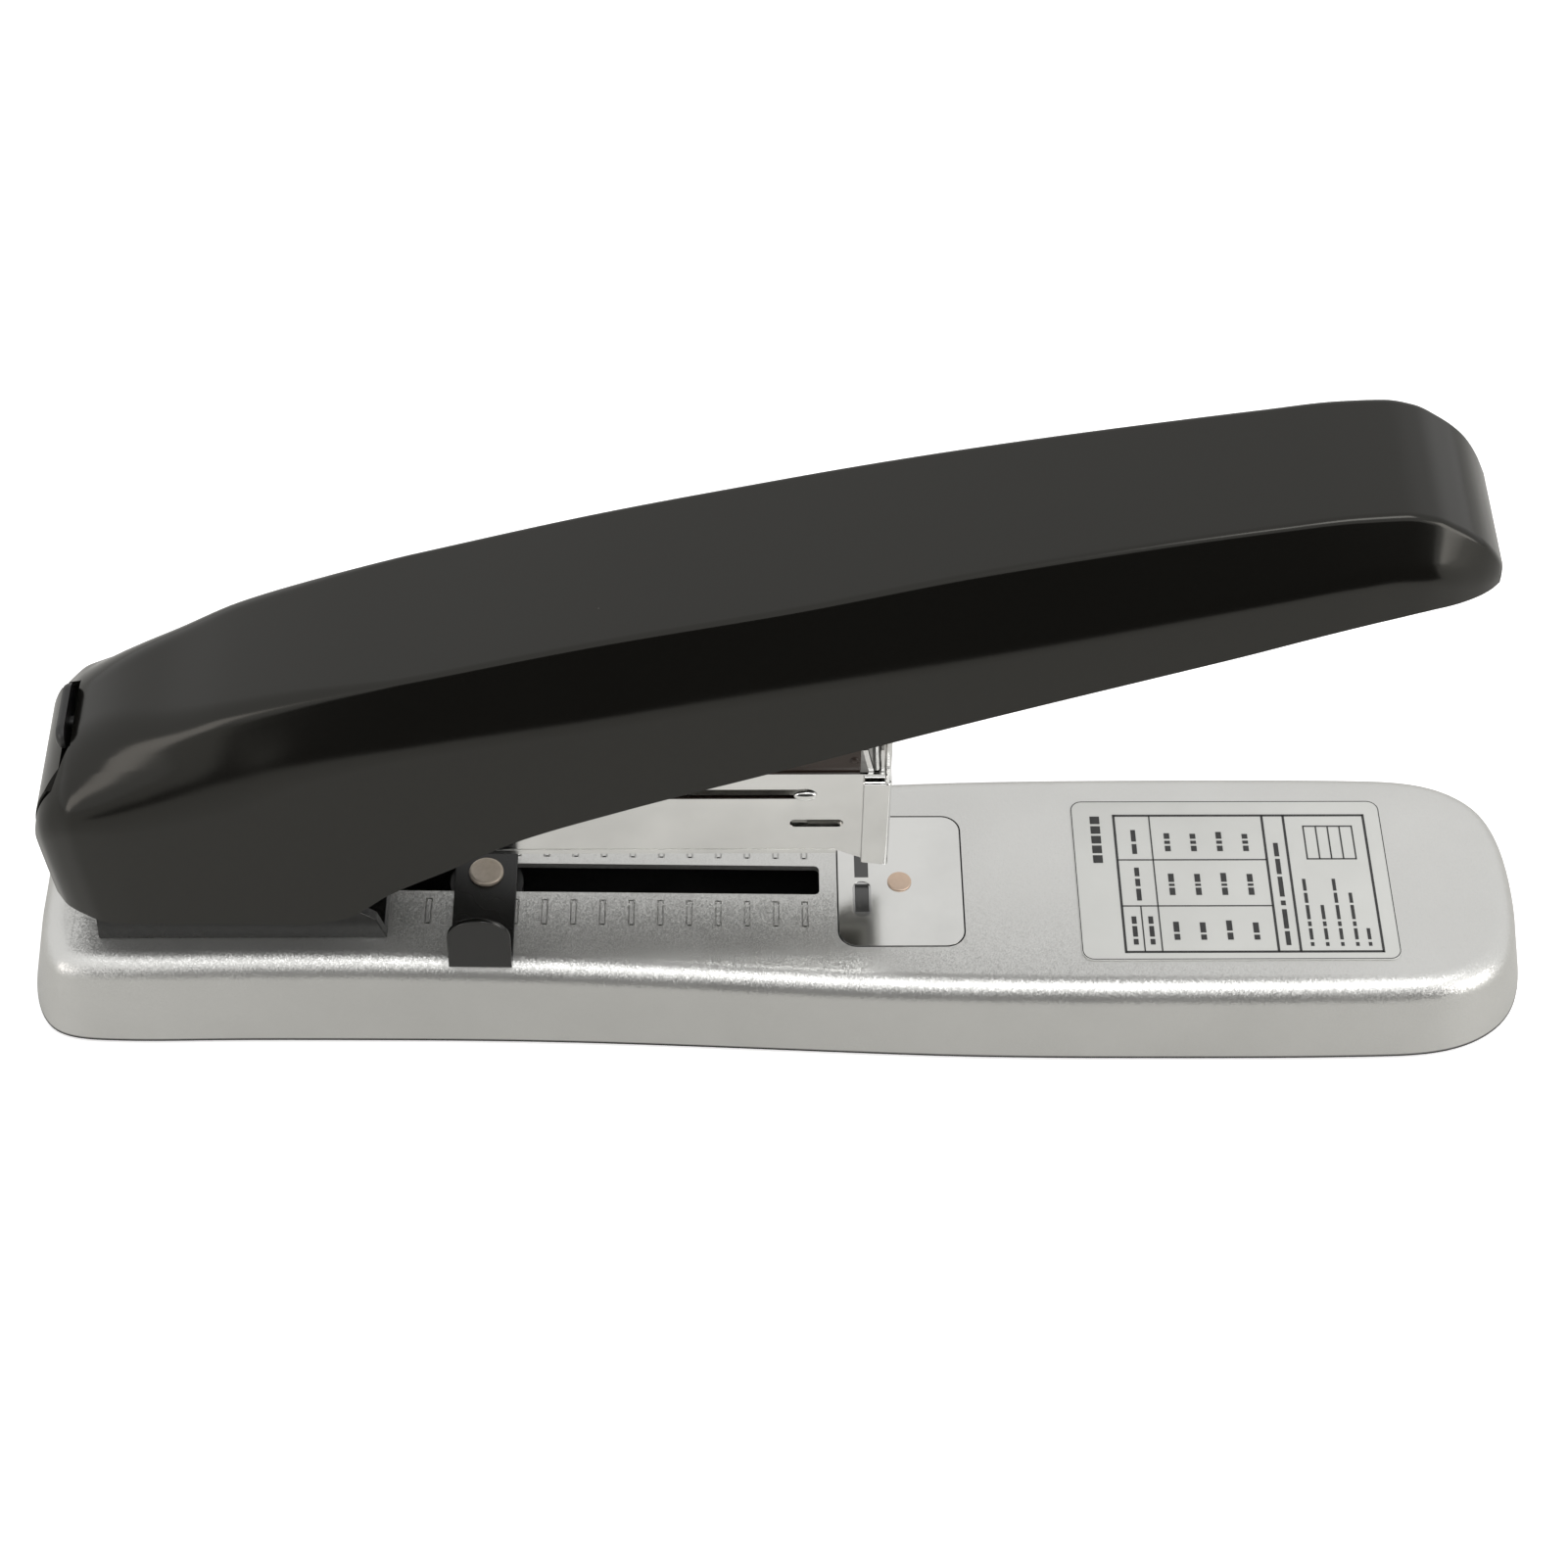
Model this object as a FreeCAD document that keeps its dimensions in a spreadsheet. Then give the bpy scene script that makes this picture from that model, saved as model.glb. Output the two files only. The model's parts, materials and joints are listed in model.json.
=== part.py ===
import FreeCAD, Part
import math
import os
import re
import Sketcher

# Long reach stapler, millimetres. The origin is the middle of the base's footprint on the desk,
# +X points to the front, +Y to the far side and +Z up. Magazine and handle are drawn about the
# hinge pin's axis and placed there.

SIZES = {
    # Base
    "base_rim": 1.0,
    "base_top": 16.0,
    "base_rear_top": 17.6,
    "base_draft": 0.22,
    "base_edge_radius": 4.5,
    "slope_start": 9.0,
    "slope_end": -71.0,
    "slope": 0.02,
    "shell_sheet": 1.2,
    "slot_left": -68.0,
    "slot_right": 6.6,
    "slot_half": 3.15,
    "tray_thickness": 1.6,
    "tray_gap": 0.15,
    "foot_radius": 5.5,
    "foot_height": 1.6,
    "foot_front": 108.0,
    "foot_rear": -114.0,
    "foot_side": 15.0,
    # Anvil and label
    "anvil_left": 9.9,
    "anvil_right": 31.5,
    "anvil_half": 14.3,
    "anvil_thickness": 1.2,
    "anvil_corner": 3.2,
    "staple_line": 14.0,
    "pocket_half": 1.2,
    "pocket_inner": 0.7,
    "pocket_outer": 6.8,
    "pocket_depth": 0.75,
    "pocket_rim_half": 1.6,
    "pocket_rim_depth": 0.15,
    "anvil_rivet_place": 20.6,
    "anvil_rivet_radius": 2.1,
    "anvil_rivet_side": -0.35,
    "anvil_rivet_shank": 1.3,
    "anvil_rivet_head": 0.35,
    "anvil_rivet_tail": 0.6,
    "anvil_seat_sheet": 1.6,
    "tick_near": 4.7,
    "tick_far": 10.3,
    "label_left": 51.5,
    "label_right": 106.6,
    "label_half": 17.7,
    "label_thickness": 0.25,
    # Hinge
    "hinge_place": -106.0,
    "hinge_height": 45.0,
    "pin_radius": 3.0,
    "pin_half": 15.0,
    "running_gap": 0.06,
    "clip_radius": 5.2,
    "clip_thickness": 0.8,
    "bracket_outer": 13.5,
    "bracket_sheet": 1.8,
    "bracket_left": -11.0,
    "bracket_right": 38.3,
    "bracket_boss": 8.5,
    "bracket_floor": 1.5,
    "bracket_rivet_side": 7.0,
    "bracket_rivet_inset": 6.0,
    "rivet_radius": 1.5,
    # Paper guide
    "guide_place": -51.35,
    "guide_half": 5.35,
    "guide_sheet": 0.9,
    "guide_lift": 0.25,
    "guide_far": 6.5,
    "guide_near": 20.4,
    "guide_tab": 14.8,
    "guide_shank": 1.6,
    "guide_rivet_radius": 3.0,
    "slider_gap": 0.1,
    # Magazine, about the hinge axis
    "mag_half": 8.5,
    "mag_sheet": 1.0,
    "mag_top": 9.2,
    "mag_bottom": -10.1,
    "mag_front": 122.8,
    "nose_bottom": -13.0,
    "nose_start": 115.5,
    "crease": 1.5,
    "crease_lean": 0.6,
    "window_left": 60.0,
    "window_right": 110.4,
    "window_height": 4.5,
    "window_half": 1.1,
    "short_slot_left": 107.1,
    "short_slot_right": 116.0,
    "short_slot_height": -2.8,
    "short_slot_half": 0.95,
    "hem_low": -9.8,
    "hem_high": -9.45,
    "hem_depth": 0.35,
    "lip_bottom": -11.3,
    "lip_half": 8.1,
    "lip_sheet": 0.6,
    "lip_end": 115.0,
    "floor_end": 34.0,
    "cap_front": 123.8,
    "cap_rear": 119.1,
    "cap_half": 9.3,
    "cap_top": 8.1,
    "cap_tongue_half": 5.6,
    "cap_tongue_top": 15.0,
    "inner_half": 7.3,
    "inner_sheet": 0.9,
    "inner_bottom": 4.5,
    "inner_top": 15.0,
    "inner_left": 22.0,
    "inner_right": 118.6,
    "rail_half": 5.6,
    "rail_sheet": 0.8,
    "rail_bottom": -9.0,
    "rail_top": 3.0,
    "rail_left": 14.0,
    "rail_right": 121.6,
    "rod_height": -3.2,
    "rod_radius": 1.25,
    "pusher_left": 110.0,
    "pusher_right": 121.2,
    # Driver
    "blade_left": 121.9,
    "blade_thickness": 0.8,
    "blade_half": 6.2,
    "blade_bottom": 6.4,
    "blade_top": 43.0,
    "holder_half": 7.0,
    "holder_length": 12.6,
    "holder_bottom": 34.9,
    "holder_top": 44.1,
    "drive_pin_place": 126.5,
    "drive_pin_height": 39.5,
    "drive_pin_radius": 2.0,
    "drive_slot_rear": 2.4,
    "drive_slot_front": 7.0,
    "drive_slot_gap": 0.2,
    # Handle, about the hinge axis
    "cover_wall": 1.6,
    "frame_half": 10.8,
    "frame_sheet": 1.5,
    "screw_radius": 1.5,
    "screw_length": 9.0,
    "screw_head_radius": 2.8,
    "screw_head": 1.6,
    "screw_recess_radius": 1.2,
    "screw_boss_radius": 3.4,
    "screw_rear": 60.0,
    "screw_rear_web": 35.2,
    "screw_front": 164.0,
    "screw_front_web": 60.0,
    # Rear cap and release button, about the hinge axis
    "rear_cap_radius": 17.4,
    "rear_cap_sheet": 1.6,
    "rear_cap_low_half": 11.3,
    "rear_cap_high_half": 8.4,
    "rear_cap_shoulder": 9.2,
    "rear_cap_top": 12.4,
    "seat_rear": -8.8,
    "seat_front": -6.5,
    "seat_low_half": 7.3,
    "seat_half": 4.5,
    "seat_top": 14.8,
    "seat_low": 5.2,
    "seat_web": 2.0,
    "seat_shoulder": 9.0,
    "button_rear": -12.7,
    "button_front": -11.1,
    "button_low": 12.7,
    "button_high": 17.5,
    "button_half": 6.2,
    "button_corner": 2.2,
    "button_stem_height": 13.45,
    "button_stem_radius": 1.1,
}

doc = FreeCAD.newDocument("LongReachStapler")
sheet = doc.addObject("Spreadsheet::Sheet", "Sizes")
for row, (alias, value) in enumerate(SIZES.items(), start=1):
    sheet.set(f"A{row}", alias)
    sheet.set(f"B{row}", str(value))
    sheet.setAlias(f"B{row}", alias)
doc.recompute()

nodes = []


def bound(formula):
    """A formula of plain cell names, as an expression on the sheet."""
    return re.sub(r"[a-z][a-z_]*", lambda word: "Sizes." + word.group(), str(formula))


def at_hinge(node):
    node.setExpression("Placement.Base.x", bound("hinge_place"))
    node.setExpression("Placement.Base.z", bound("hinge_height"))


# ---------------------------------------------------------------- sketch and feature helpers


def new_body(name, hinged=False):
    body = doc.addObject("PartDesign::Body", name)
    body.Label = name
    if hinged:
        at_hinge(body)
    nodes.append(body)
    return body


def new_sketch(body, role, level=0):
    """A sketch on one of the body's own origin planes, lifted along its normal by level."""
    sketch = body.newObject("Sketcher::SketchObject", f"{body.Name}_sketch")
    plane = next(item for item in body.Origin.OriginFeatures if item.Role == role)
    sketch.AttachmentSupport = [(plane, "")]
    sketch.MapMode = "FlatFace"
    sketch.setExpression("AttachmentOffset.Base.z", bound(level))
    return sketch


def pin_point(sketch, geometry, end, across, along):
    for kind, formula in (("DistanceX", across), ("DistanceY", along)):
        index = sketch.addConstraint(Sketcher.Constraint(kind, -1, 1, geometry, end, 1.0))
        sketch.setExpression(f"Constraints[{index}]", bound(formula))


def polygon(sketch, corners):
    """A closed outline of straight lines whose corners are pairs of formulas."""
    first = sketch.GeometryCount
    count = len(corners)
    guess = []
    for number in range(count):
        turn = 2 * math.pi * number / count
        guess.append(FreeCAD.Vector(20 * math.cos(turn), 20 * math.sin(turn), 0))
    for number in range(count):
        sketch.addGeometry(Part.LineSegment(guess[number], guess[(number + 1) % count]), False)
    for number in range(count):
        following = first + (number + 1) % count
        sketch.addConstraint(Sketcher.Constraint("Coincident", first + number, 2, following, 1))
    for number, (across, along) in enumerate(corners):
        pin_point(sketch, first + number, 1, across, along)


def rectangle(sketch, left, right, low, high):
    polygon(sketch, [(left, low), (right, low), (right, high), (left, high)])


def circle(sketch, across, along, radius):
    centre = FreeCAD.Vector(1, 1, 0)
    index = sketch.addGeometry(Part.Circle(centre, FreeCAD.Vector(0, 0, 1), 2.0), False)
    pin_point(sketch, index, 3, across, along)
    size = sketch.addConstraint(Sketcher.Constraint("Radius", index, 2.0))
    sketch.setExpression(f"Constraints[{size}]", bound(radius))


def pad(body, sketch, length, centred=False, reverse=False):
    feature = body.newObject("PartDesign::Pad", f"{body.Name}_pad")
    feature.Profile = sketch
    feature.setExpression("Length", bound(length))
    feature.Midplane = centred
    feature.Reversed = reverse
    return feature


def pocket(body, sketch, length=None, centred=False, reverse=False):
    """A pocket of a given length, or right through both ways when none is given."""
    doc.recompute()
    before = body.Shape.Volume
    feature = body.newObject("PartDesign::Pocket", f"{body.Name}_pocket")
    feature.Profile = sketch
    if length is None:
        feature.Type = "ThroughAll"
        feature.Midplane = True
    else:
        feature.setExpression("Length", bound(length))
        feature.Midplane = centred
        feature.Reversed = reverse
    doc.recompute()
    if body.Shape.Volume > before - 1e-4:
        raise RuntimeError(f"a pocket in {body.Label} cuts nothing")
    return feature


def round_edges(body, radius, wanted):
    """Fillet the edges of the body's tip for which wanted(edge) is true."""
    doc.recompute()
    base = body.Tip
    names = [f"Edge{number}" for number, edge in enumerate(base.Shape.Edges, 1) if wanted(edge)]
    fillet = body.newObject("PartDesign::Fillet", f"{body.Name}_fillet")
    fillet.Base = (base, names)
    fillet.setExpression("Radius", bound(radius))
    doc.recompute()
    return fillet


def runs_along(axis):
    """A test for straight edges along one axis, 0 to 2 for X to Z."""

    def test(edge):
        if edge.Curve.TypeId != "Part::GeomLine":
            return False
        return abs(abs(edge.tangentAt(edge.FirstParameter)[axis]) - 1) < 1e-6

    return test


def slab(name, left, right, low, high, bottom, height, hinged=False):
    """A flat rectangular plate that starts at bottom and rises by height."""
    body = new_body(name, hinged)
    sketch = new_sketch(body, "XY_Plane", bottom)
    rectangle(sketch, left, right, low, high)
    pad(body, sketch, height)
    return body


def side_slab(name, corners, half_depth, hinged=False):
    """A prism across the stapler whose outline is drawn in the X, Z plane."""
    body = new_body(name, hinged)
    sketch = new_sketch(body, "XZ_Plane")
    polygon(sketch, corners)
    pad(body, sketch, f"2 * ({half_depth})", centred=True)
    return body


def cut_side_slab(body, corners, half_depth):
    sketch = new_sketch(body, "XZ_Plane")
    polygon(sketch, corners)
    pocket(body, sketch, f"2 * ({half_depth})", centred=True)


def cut_side_hole(body, across, along, radius):
    sketch = new_sketch(body, "XZ_Plane")
    circle(sketch, across, along, radius)
    pocket(body, sketch)


def cell(name):
    return float(getattr(sheet, name))


def feature_node(name, shape, hinged=False):
    node = doc.addObject("Part::Feature", name)
    node.Label = name
    node.Shape = shape
    if hinged:
        base = FreeCAD.Vector(cell("hinge_place"), 0, cell("hinge_height"))
        node.Placement = FreeCAD.Placement(base, FreeCAD.Rotation()).multiply(shape.Placement)
    nodes.append(node)
    return node


# ---------------------------------------------------------------- base


# Points of the footprint's far half from the middle of the rear end to the middle of the front.
BASE_SIDE = [
    (-131.0, 0.0),
    (-130.1, 13.4),
    (-126.3, 20.6),
    (-117.0, 23.0),
    (-98.0, 23.1),
    (-82.0, 23.1),
    (-68.0, 23.2),
    (-40.0, 23.7),
    (-12.0, 24.9),
    (9.0, 26.0),
    (31.0, 27.0),
    (65.0, 27.5),
    (103.0, 27.3),
    (119.7, 24.6),
    (126.9, 18.9),
    (130.4, 9.2),
    (131.0, 0.0),
]


def base_top_at(place):
    """Height of the base's top: level in front, a gentle ramp beside the slot, level behind."""
    run = cell("slope_start") - max(place, cell("slope_end"))
    return cell("base_top") + cell("slope") * max(0.0, run)


def base_ring(inset_at, level_at):
    """The footprint as a far and a near edge; inset and level are functions of X."""
    ring = BASE_SIDE + [(x, -y) for x, y in reversed(BASE_SIDE[1:-1])]
    points = []
    for number, (x, y) in enumerate(ring):
        before = ring[number - 1]
        after = ring[(number + 1) % len(ring)]
        run = math.hypot(after[0] - before[0], after[1] - before[1])
        inset = inset_at(x)
        across = x + inset * (after[1] - before[1]) / run
        along = y - inset * (after[0] - before[0]) / run
        points.append(FreeCAD.Vector(across, along, level_at(x)))
    curve = Part.BSplineCurve()
    curve.interpolate(points, PeriodicFlag=True)
    front = curve.parameter(points[len(BASE_SIDE) - 1])
    return [curve.toShape(curve.FirstParameter, front), curve.toShape(front, curve.LastParameter)]


def flat_outline(inset, level):
    return Part.Wire(base_ring(lambda x: inset, lambda x: level))


def drafted_block(inset, bottom, drop):
    """The base as a block with drafted sides and a rounded edge round its rising top."""
    rim = cell("base_rim")
    draft = cell("base_draft")
    lean = math.atan(draft)
    radius = cell("base_edge_radius") - drop

    def rounded_ring(angle):
        def level(x):
            return base_top_at(x) - drop - radius + radius * math.sin(angle)

        def inward(x):
            centre = base_top_at(x) - drop - radius
            return inset + draft * (centre - rim) + radius / math.cos(lean) \
                - radius * math.cos(angle)

        return base_ring(inward, level)

    steps = 5
    angles = [lean + (math.pi / 2 - lean) * number / steps for number in range(steps + 1)]
    rings = [rounded_ring(angle) for angle in angles]
    foot = flat_outline(inset + draft * (bottom - rim), bottom)
    wall = Part.makeLoft([foot, Part.Wire(rings[0])], False, True)
    edge = Part.makeLoft([Part.Wire(ring) for ring in rings], False, False)
    far, near = rings[-1]
    top = Part.makeRuledSurface(far, near)
    faces = [Part.Face(foot)] + wall.Faces + edge.Faces + top.Faces
    shell = Part.makeShell(faces)
    shell.sewShape(0.01)
    block = Part.makeSolid(Part.Shell(shell.Faces) if shell.ShapeType != "Shell" else shell)
    if block.Volume < 0:
        block.reverse()
    return block


def box_between(left, right, near, far, low, high):
    size = (right - left, far - near, high - low)
    return Part.makeBox(*size, FreeCAD.Vector(left, near, low))


def rounded_box(left, right, near, far, low, high, corner):
    box = box_between(left, right, near, far, low, high)
    upright = [edge for edge in box.Edges if edge.BoundBox.ZLength > 0.9 * (high - low)]
    upright = [edge for edge in upright if edge.BoundBox.XLength < 0.01]
    return box.makeFillet(corner, upright)


def ruler_ticks():
    """Pressed outlines every 5 mm from the staple line, on both sides of the slot."""
    pitch = 5.0
    first_reading = 10.0
    count = 14
    groove = 0.3
    depth = 0.4
    half_width = 0.6
    tick_near = cell("tick_near")
    tick_far = cell("tick_far")
    ticks = []
    for number in range(count):
        middle = cell("staple_line") - first_reading - pitch * number
        top = base_top_at(middle)
        left = middle - half_width
        right = middle + half_width
        for near, far in ((-tick_far, -tick_near), (tick_near, tick_far)):
            outer = box_between(left, right, near, far, top - depth, top + 2)
            inner = box_between(left + groove, right - groove, near + groove, far - groove,
                                top - depth - 1, top + 3)
            ticks.append(outer.cut(inner))
    return Part.makeCompound(ticks)


def make_base_shell():
    sheet_thickness = cell("shell_sheet")
    rim = cell("base_rim")
    top = cell("base_top")
    outside = drafted_block(0, rim, 0)
    inside = drafted_block(sheet_thickness, rim, sheet_thickness)
    seat_depth = cell("anvil_thickness") + cell("anvil_seat_sheet")
    seat_margin = 3
    seat_half = cell("anvil_half") + seat_margin - 0.3
    seat = box_between(cell("anvil_left") - seat_margin, cell("anvil_right") + seat_margin,
                       -seat_half, seat_half, top - seat_depth, top + 3)
    shell = outside.cut(inside.cut(seat))
    through_slot = rounded_box(cell("slot_left"), cell("slot_right"), -cell("slot_half"),
                               cell("slot_half"), 0, 30, 0.9)
    recess = rounded_box(cell("anvil_left") - 0.1, cell("anvil_right") + 0.1,
                         -cell("anvil_half") - 0.1, cell("anvil_half") + 0.1,
                         top - cell("anvil_thickness") - 0.05, top + 4, cell("anvil_corner"))
    rivet_hole = Part.makeCylinder(cell("anvil_rivet_shank"), 30, FreeCAD.Vector(
        cell("anvil_rivet_place"), cell("anvil_rivet_side"), 0))
    shell = shell.cut(through_slot).cut(recess).cut(rivet_hole)
    for across, along in bracket_rivet_places():
        shell = shell.cut(Part.makeCylinder(cell("rivet_radius"), 40,
                                            FreeCAD.Vector(across, along, 0)))
    label_seat = rounded_box(cell("label_left"), cell("label_right"), -cell("label_half"),
                             cell("label_half"), top, top + 1, 2.0)
    hinge = cell("hinge_place")
    bracket_seat = box_between(hinge + cell("bracket_left"), hinge + cell("bracket_right"),
                               -cell("bracket_outer"), cell("bracket_outer"),
                               cell("base_rear_top"), cell("base_rear_top") + 1)
    shell = shell.cut(label_seat).cut(bracket_seat).cut(ruler_ticks())
    feature_node("base_shell", shell)


def bracket_rivet_places():
    inset = cell("bracket_rivet_inset")
    side = cell("bracket_rivet_side")
    left = cell("hinge_place") + cell("bracket_left") + inset
    right = cell("hinge_place") + cell("bracket_right") - inset
    return [(x, y) for x in (left, right) for y in (-side, side)]


def make_base_tray():
    rim = cell("base_rim")
    lip_height = 5.5
    inset = cell("shell_sheet") + cell("tray_gap") + 2 * cell("base_draft")
    low = flat_outline(inset, rim - 0.4)
    plate = Part.Face(low).extrude(FreeCAD.Vector(0, 0, cell("tray_thickness")))
    lip_inset = cell("shell_sheet") + cell("tray_gap") + (lip_height + 1) * cell("base_draft")
    lip_outer = flat_outline(lip_inset, rim)
    lip_inner = flat_outline(lip_inset + 1.6, rim)
    upwards = FreeCAD.Vector(0, 0, lip_height)
    lip = Part.Face(lip_outer).extrude(upwards).cut(Part.Face(lip_inner).extrude(upwards))
    tray = plate.fuse(lip)
    for across in (cell("foot_rear"), cell("foot_front")):
        for along in (-cell("foot_side"), cell("foot_side")):
            hole = Part.makeCylinder(cell("foot_radius"), 1.0,
                                     FreeCAD.Vector(across, along, rim - 0.5))
            tray = tray.cut(hole)
    feature_node("base_tray", tray.removeSplitter())


def make_rubber_feet():
    body = new_body("rubber_feet")
    sketch = new_sketch(body, "XY_Plane")
    for across in ("foot_rear", "foot_front"):
        for along in ("-foot_side", "foot_side"):
            circle(sketch, across, along, "foot_radius - 0.05")
    body.AllowCompound = True
    pad(body, sketch, "base_rim + 0.45")


def make_anvil():
    body = slab("anvil_plate", "anvil_left", "anvil_right", "-anvil_half", "anvil_half",
                "base_top - anvil_thickness", "anvil_thickness")
    round_edges(body, "anvil_corner", runs_along(2))
    rim = new_sketch(body, "XY_Plane", "base_top")
    rectangle(rim, "staple_line - pocket_rim_half", "staple_line + pocket_rim_half",
              "-pocket_outer - 1.2", "-pocket_inner + 0.5")
    pocket(body, rim, "pocket_rim_depth")
    round_edges(body, "pocket_rim_half - 0.1", lambda edge: runs_along(2)(edge)
                and abs(edge.BoundBox.XMin - SIZES["staple_line"]) < 2)
    for near, far in (("-pocket_outer", "-pocket_inner"), ("pocket_inner", "pocket_outer")):
        sketch = new_sketch(body, "XY_Plane", "base_top")
        rectangle(sketch, "staple_line - pocket_half", "staple_line + pocket_half", near, far)
        pocket(body, sketch, "pocket_depth")
    sketch = new_sketch(body, "XY_Plane")
    circle(sketch, "anvil_rivet_place", "anvil_rivet_side", "anvil_rivet_shank")
    pocket(body, sketch)

    rivet = new_body("anvil_rivet")
    head = new_sketch(rivet, "XY_Plane", "base_top")
    circle(head, "anvil_rivet_place", "anvil_rivet_side", "anvil_rivet_radius")
    pad(rivet, head, "anvil_rivet_head")
    shank = new_sketch(rivet, "XY_Plane", "base_top")
    circle(shank, "anvil_rivet_place", "anvil_rivet_side", "anvil_rivet_shank")
    pad(rivet, shank, "anvil_thickness + anvil_seat_sheet + anvil_rivet_tail", reverse=True)
    tail = new_sketch(rivet, "XY_Plane", "base_top - anvil_thickness - anvil_seat_sheet - 0.05")
    circle(tail, "anvil_rivet_place", "anvil_rivet_side", "anvil_rivet_radius")
    pad(rivet, tail, "anvil_rivet_tail", reverse=True)
    round_edges(rivet, "0.25", lambda edge: edge.BoundBox.ZMin > SIZES["base_top"] + 0.3)


def make_label():
    body = slab("label_plate", "label_left", "label_right", "-label_half", "label_half",
                "base_top", "label_thickness")
    round_edges(body, "2.0", runs_along(2))


# ---------------------------------------------------------------- hinge


def make_bracket():
    """A U bracket: two cheeks with round heads and a floor on the base."""
    floor = "base_rear_top - hinge_height"
    body = side_slab(
        "hinge_bracket",
        [
            ("bracket_left", floor),
            ("bracket_right", floor),
            ("bracket_right - 1.5", f"{floor} + 5.0"),
            ("bracket_boss", "0"),
            ("0.6 * bracket_boss", "bracket_boss"),
            ("-0.6 * bracket_boss", "bracket_boss"),
            ("-bracket_boss - 1", "0"),
        ],
        "bracket_outer",
        hinged=True,
    )
    inner = "bracket_outer - bracket_sheet"
    cut_side_slab(
        body,
        [
            ("-40", f"{floor} + bracket_floor"),
            ("60", f"{floor} + bracket_floor"),
            ("60", "40"),
            ("-40", "40"),
        ],
        inner,
    )
    cut_side_hole(body, "0", "0", "pin_radius")
    sketch = new_sketch(body, "XY_Plane", floor)
    places = [(across, along)
              for across in ("bracket_left + bracket_rivet_inset",
                             "bracket_right - bracket_rivet_inset")
              for along in ("-bracket_rivet_side", "bracket_rivet_side")]
    for across, along in places:
        circle(sketch, across, along, "rivet_radius")
    pocket(body, sketch, "bracket_floor", reverse=True)
    round_edges(body, "3.0", lambda edge: runs_along(1)(edge) and edge.BoundBox.ZMin > 8)

    rivets = new_body("bracket_rivets", hinged=True)
    rivets.AllowCompound = True
    shank = new_sketch(rivets, "XY_Plane", f"{floor} + bracket_floor")
    head = new_sketch(rivets, "XY_Plane", f"{floor} + bracket_floor")
    tail = new_sketch(rivets, "XY_Plane", f"{floor} - shell_sheet - 0.1")
    for across, along in places:
        circle(shank, across, along, "rivet_radius")
        circle(head, across, along, "rivet_radius + 1")
        circle(tail, across, along, "rivet_radius + 0.8")
    pad(rivets, shank, "shell_sheet + 1.8", reverse=True)
    pad(rivets, head, "0.9")
    pad(rivets, tail, "0.6", reverse=True)


def make_hinge_pin():
    body = new_body("hinge_pin", hinged=True)
    sketch = new_sketch(body, "XZ_Plane")
    circle(sketch, "0", "0", "pin_radius")
    pad(body, sketch, "2 * pin_half", centred=True)
    for level in ("-pin_half + 0.5", "pin_half - 0.5 - clip_thickness"):
        groove = new_sketch(body, "XZ_Plane", level)
        circle(groove, "0", "0", "pin_radius + 2")
        circle(groove, "0", "0", "pin_radius - 0.5")
        pocket(body, groove, "clip_thickness", reverse=True)

    clips = new_body("pin_clips", hinged=True)
    clips.AllowCompound = True
    for level in ("-pin_half + 0.5", "pin_half - 0.5 - clip_thickness"):
        ring = new_sketch(clips, "XZ_Plane", level)
        circle(ring, "0", "0", "clip_radius")
        circle(ring, "0", "0", "pin_radius - 0.5")
        pad(clips, ring, "clip_thickness")
    mouth = new_sketch(clips, "XZ_Plane")
    rectangle(mouth, "0", "clip_radius + 1", "-1.2", "1.2")
    pocket(clips, mouth)


def spring(name, start, along, length, coil_radius, wire_radius, turns, hinged):
    """A round wire wound on a helix from start along a unit direction."""
    pitch = (length - 2 * wire_radius) / turns
    helix = Part.makeHelix(pitch, pitch * turns, coil_radius)
    circle_wire = Part.Wire([Part.makeCircle(wire_radius, FreeCAD.Vector(coil_radius, 0, 0),
                                             FreeCAD.Vector(0, 1, 0))])
    coil = Part.Wire(helix.Edges).makePipeShell([circle_wire], True, True)
    coil.translate(FreeCAD.Vector(0, 0, wire_radius))
    turn = FreeCAD.Rotation(FreeCAD.Vector(0, 0, 1), along)
    coil.Placement = FreeCAD.Placement(start, turn).multiply(coil.Placement)
    feature_node(name, coil, hinged)


def make_lift_spring():
    floor = cell("base_rear_top") - cell("hinge_height") + cell("bracket_floor")
    start = FreeCAD.Vector(24, 0, floor + 0.2)
    length = cell("mag_bottom") - floor - 0.4
    spring("lift_spring", start, FreeCAD.Vector(0, 0, 1), length, 4.2, 0.55, 6, True)


# ---------------------------------------------------------------- paper guide


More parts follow.
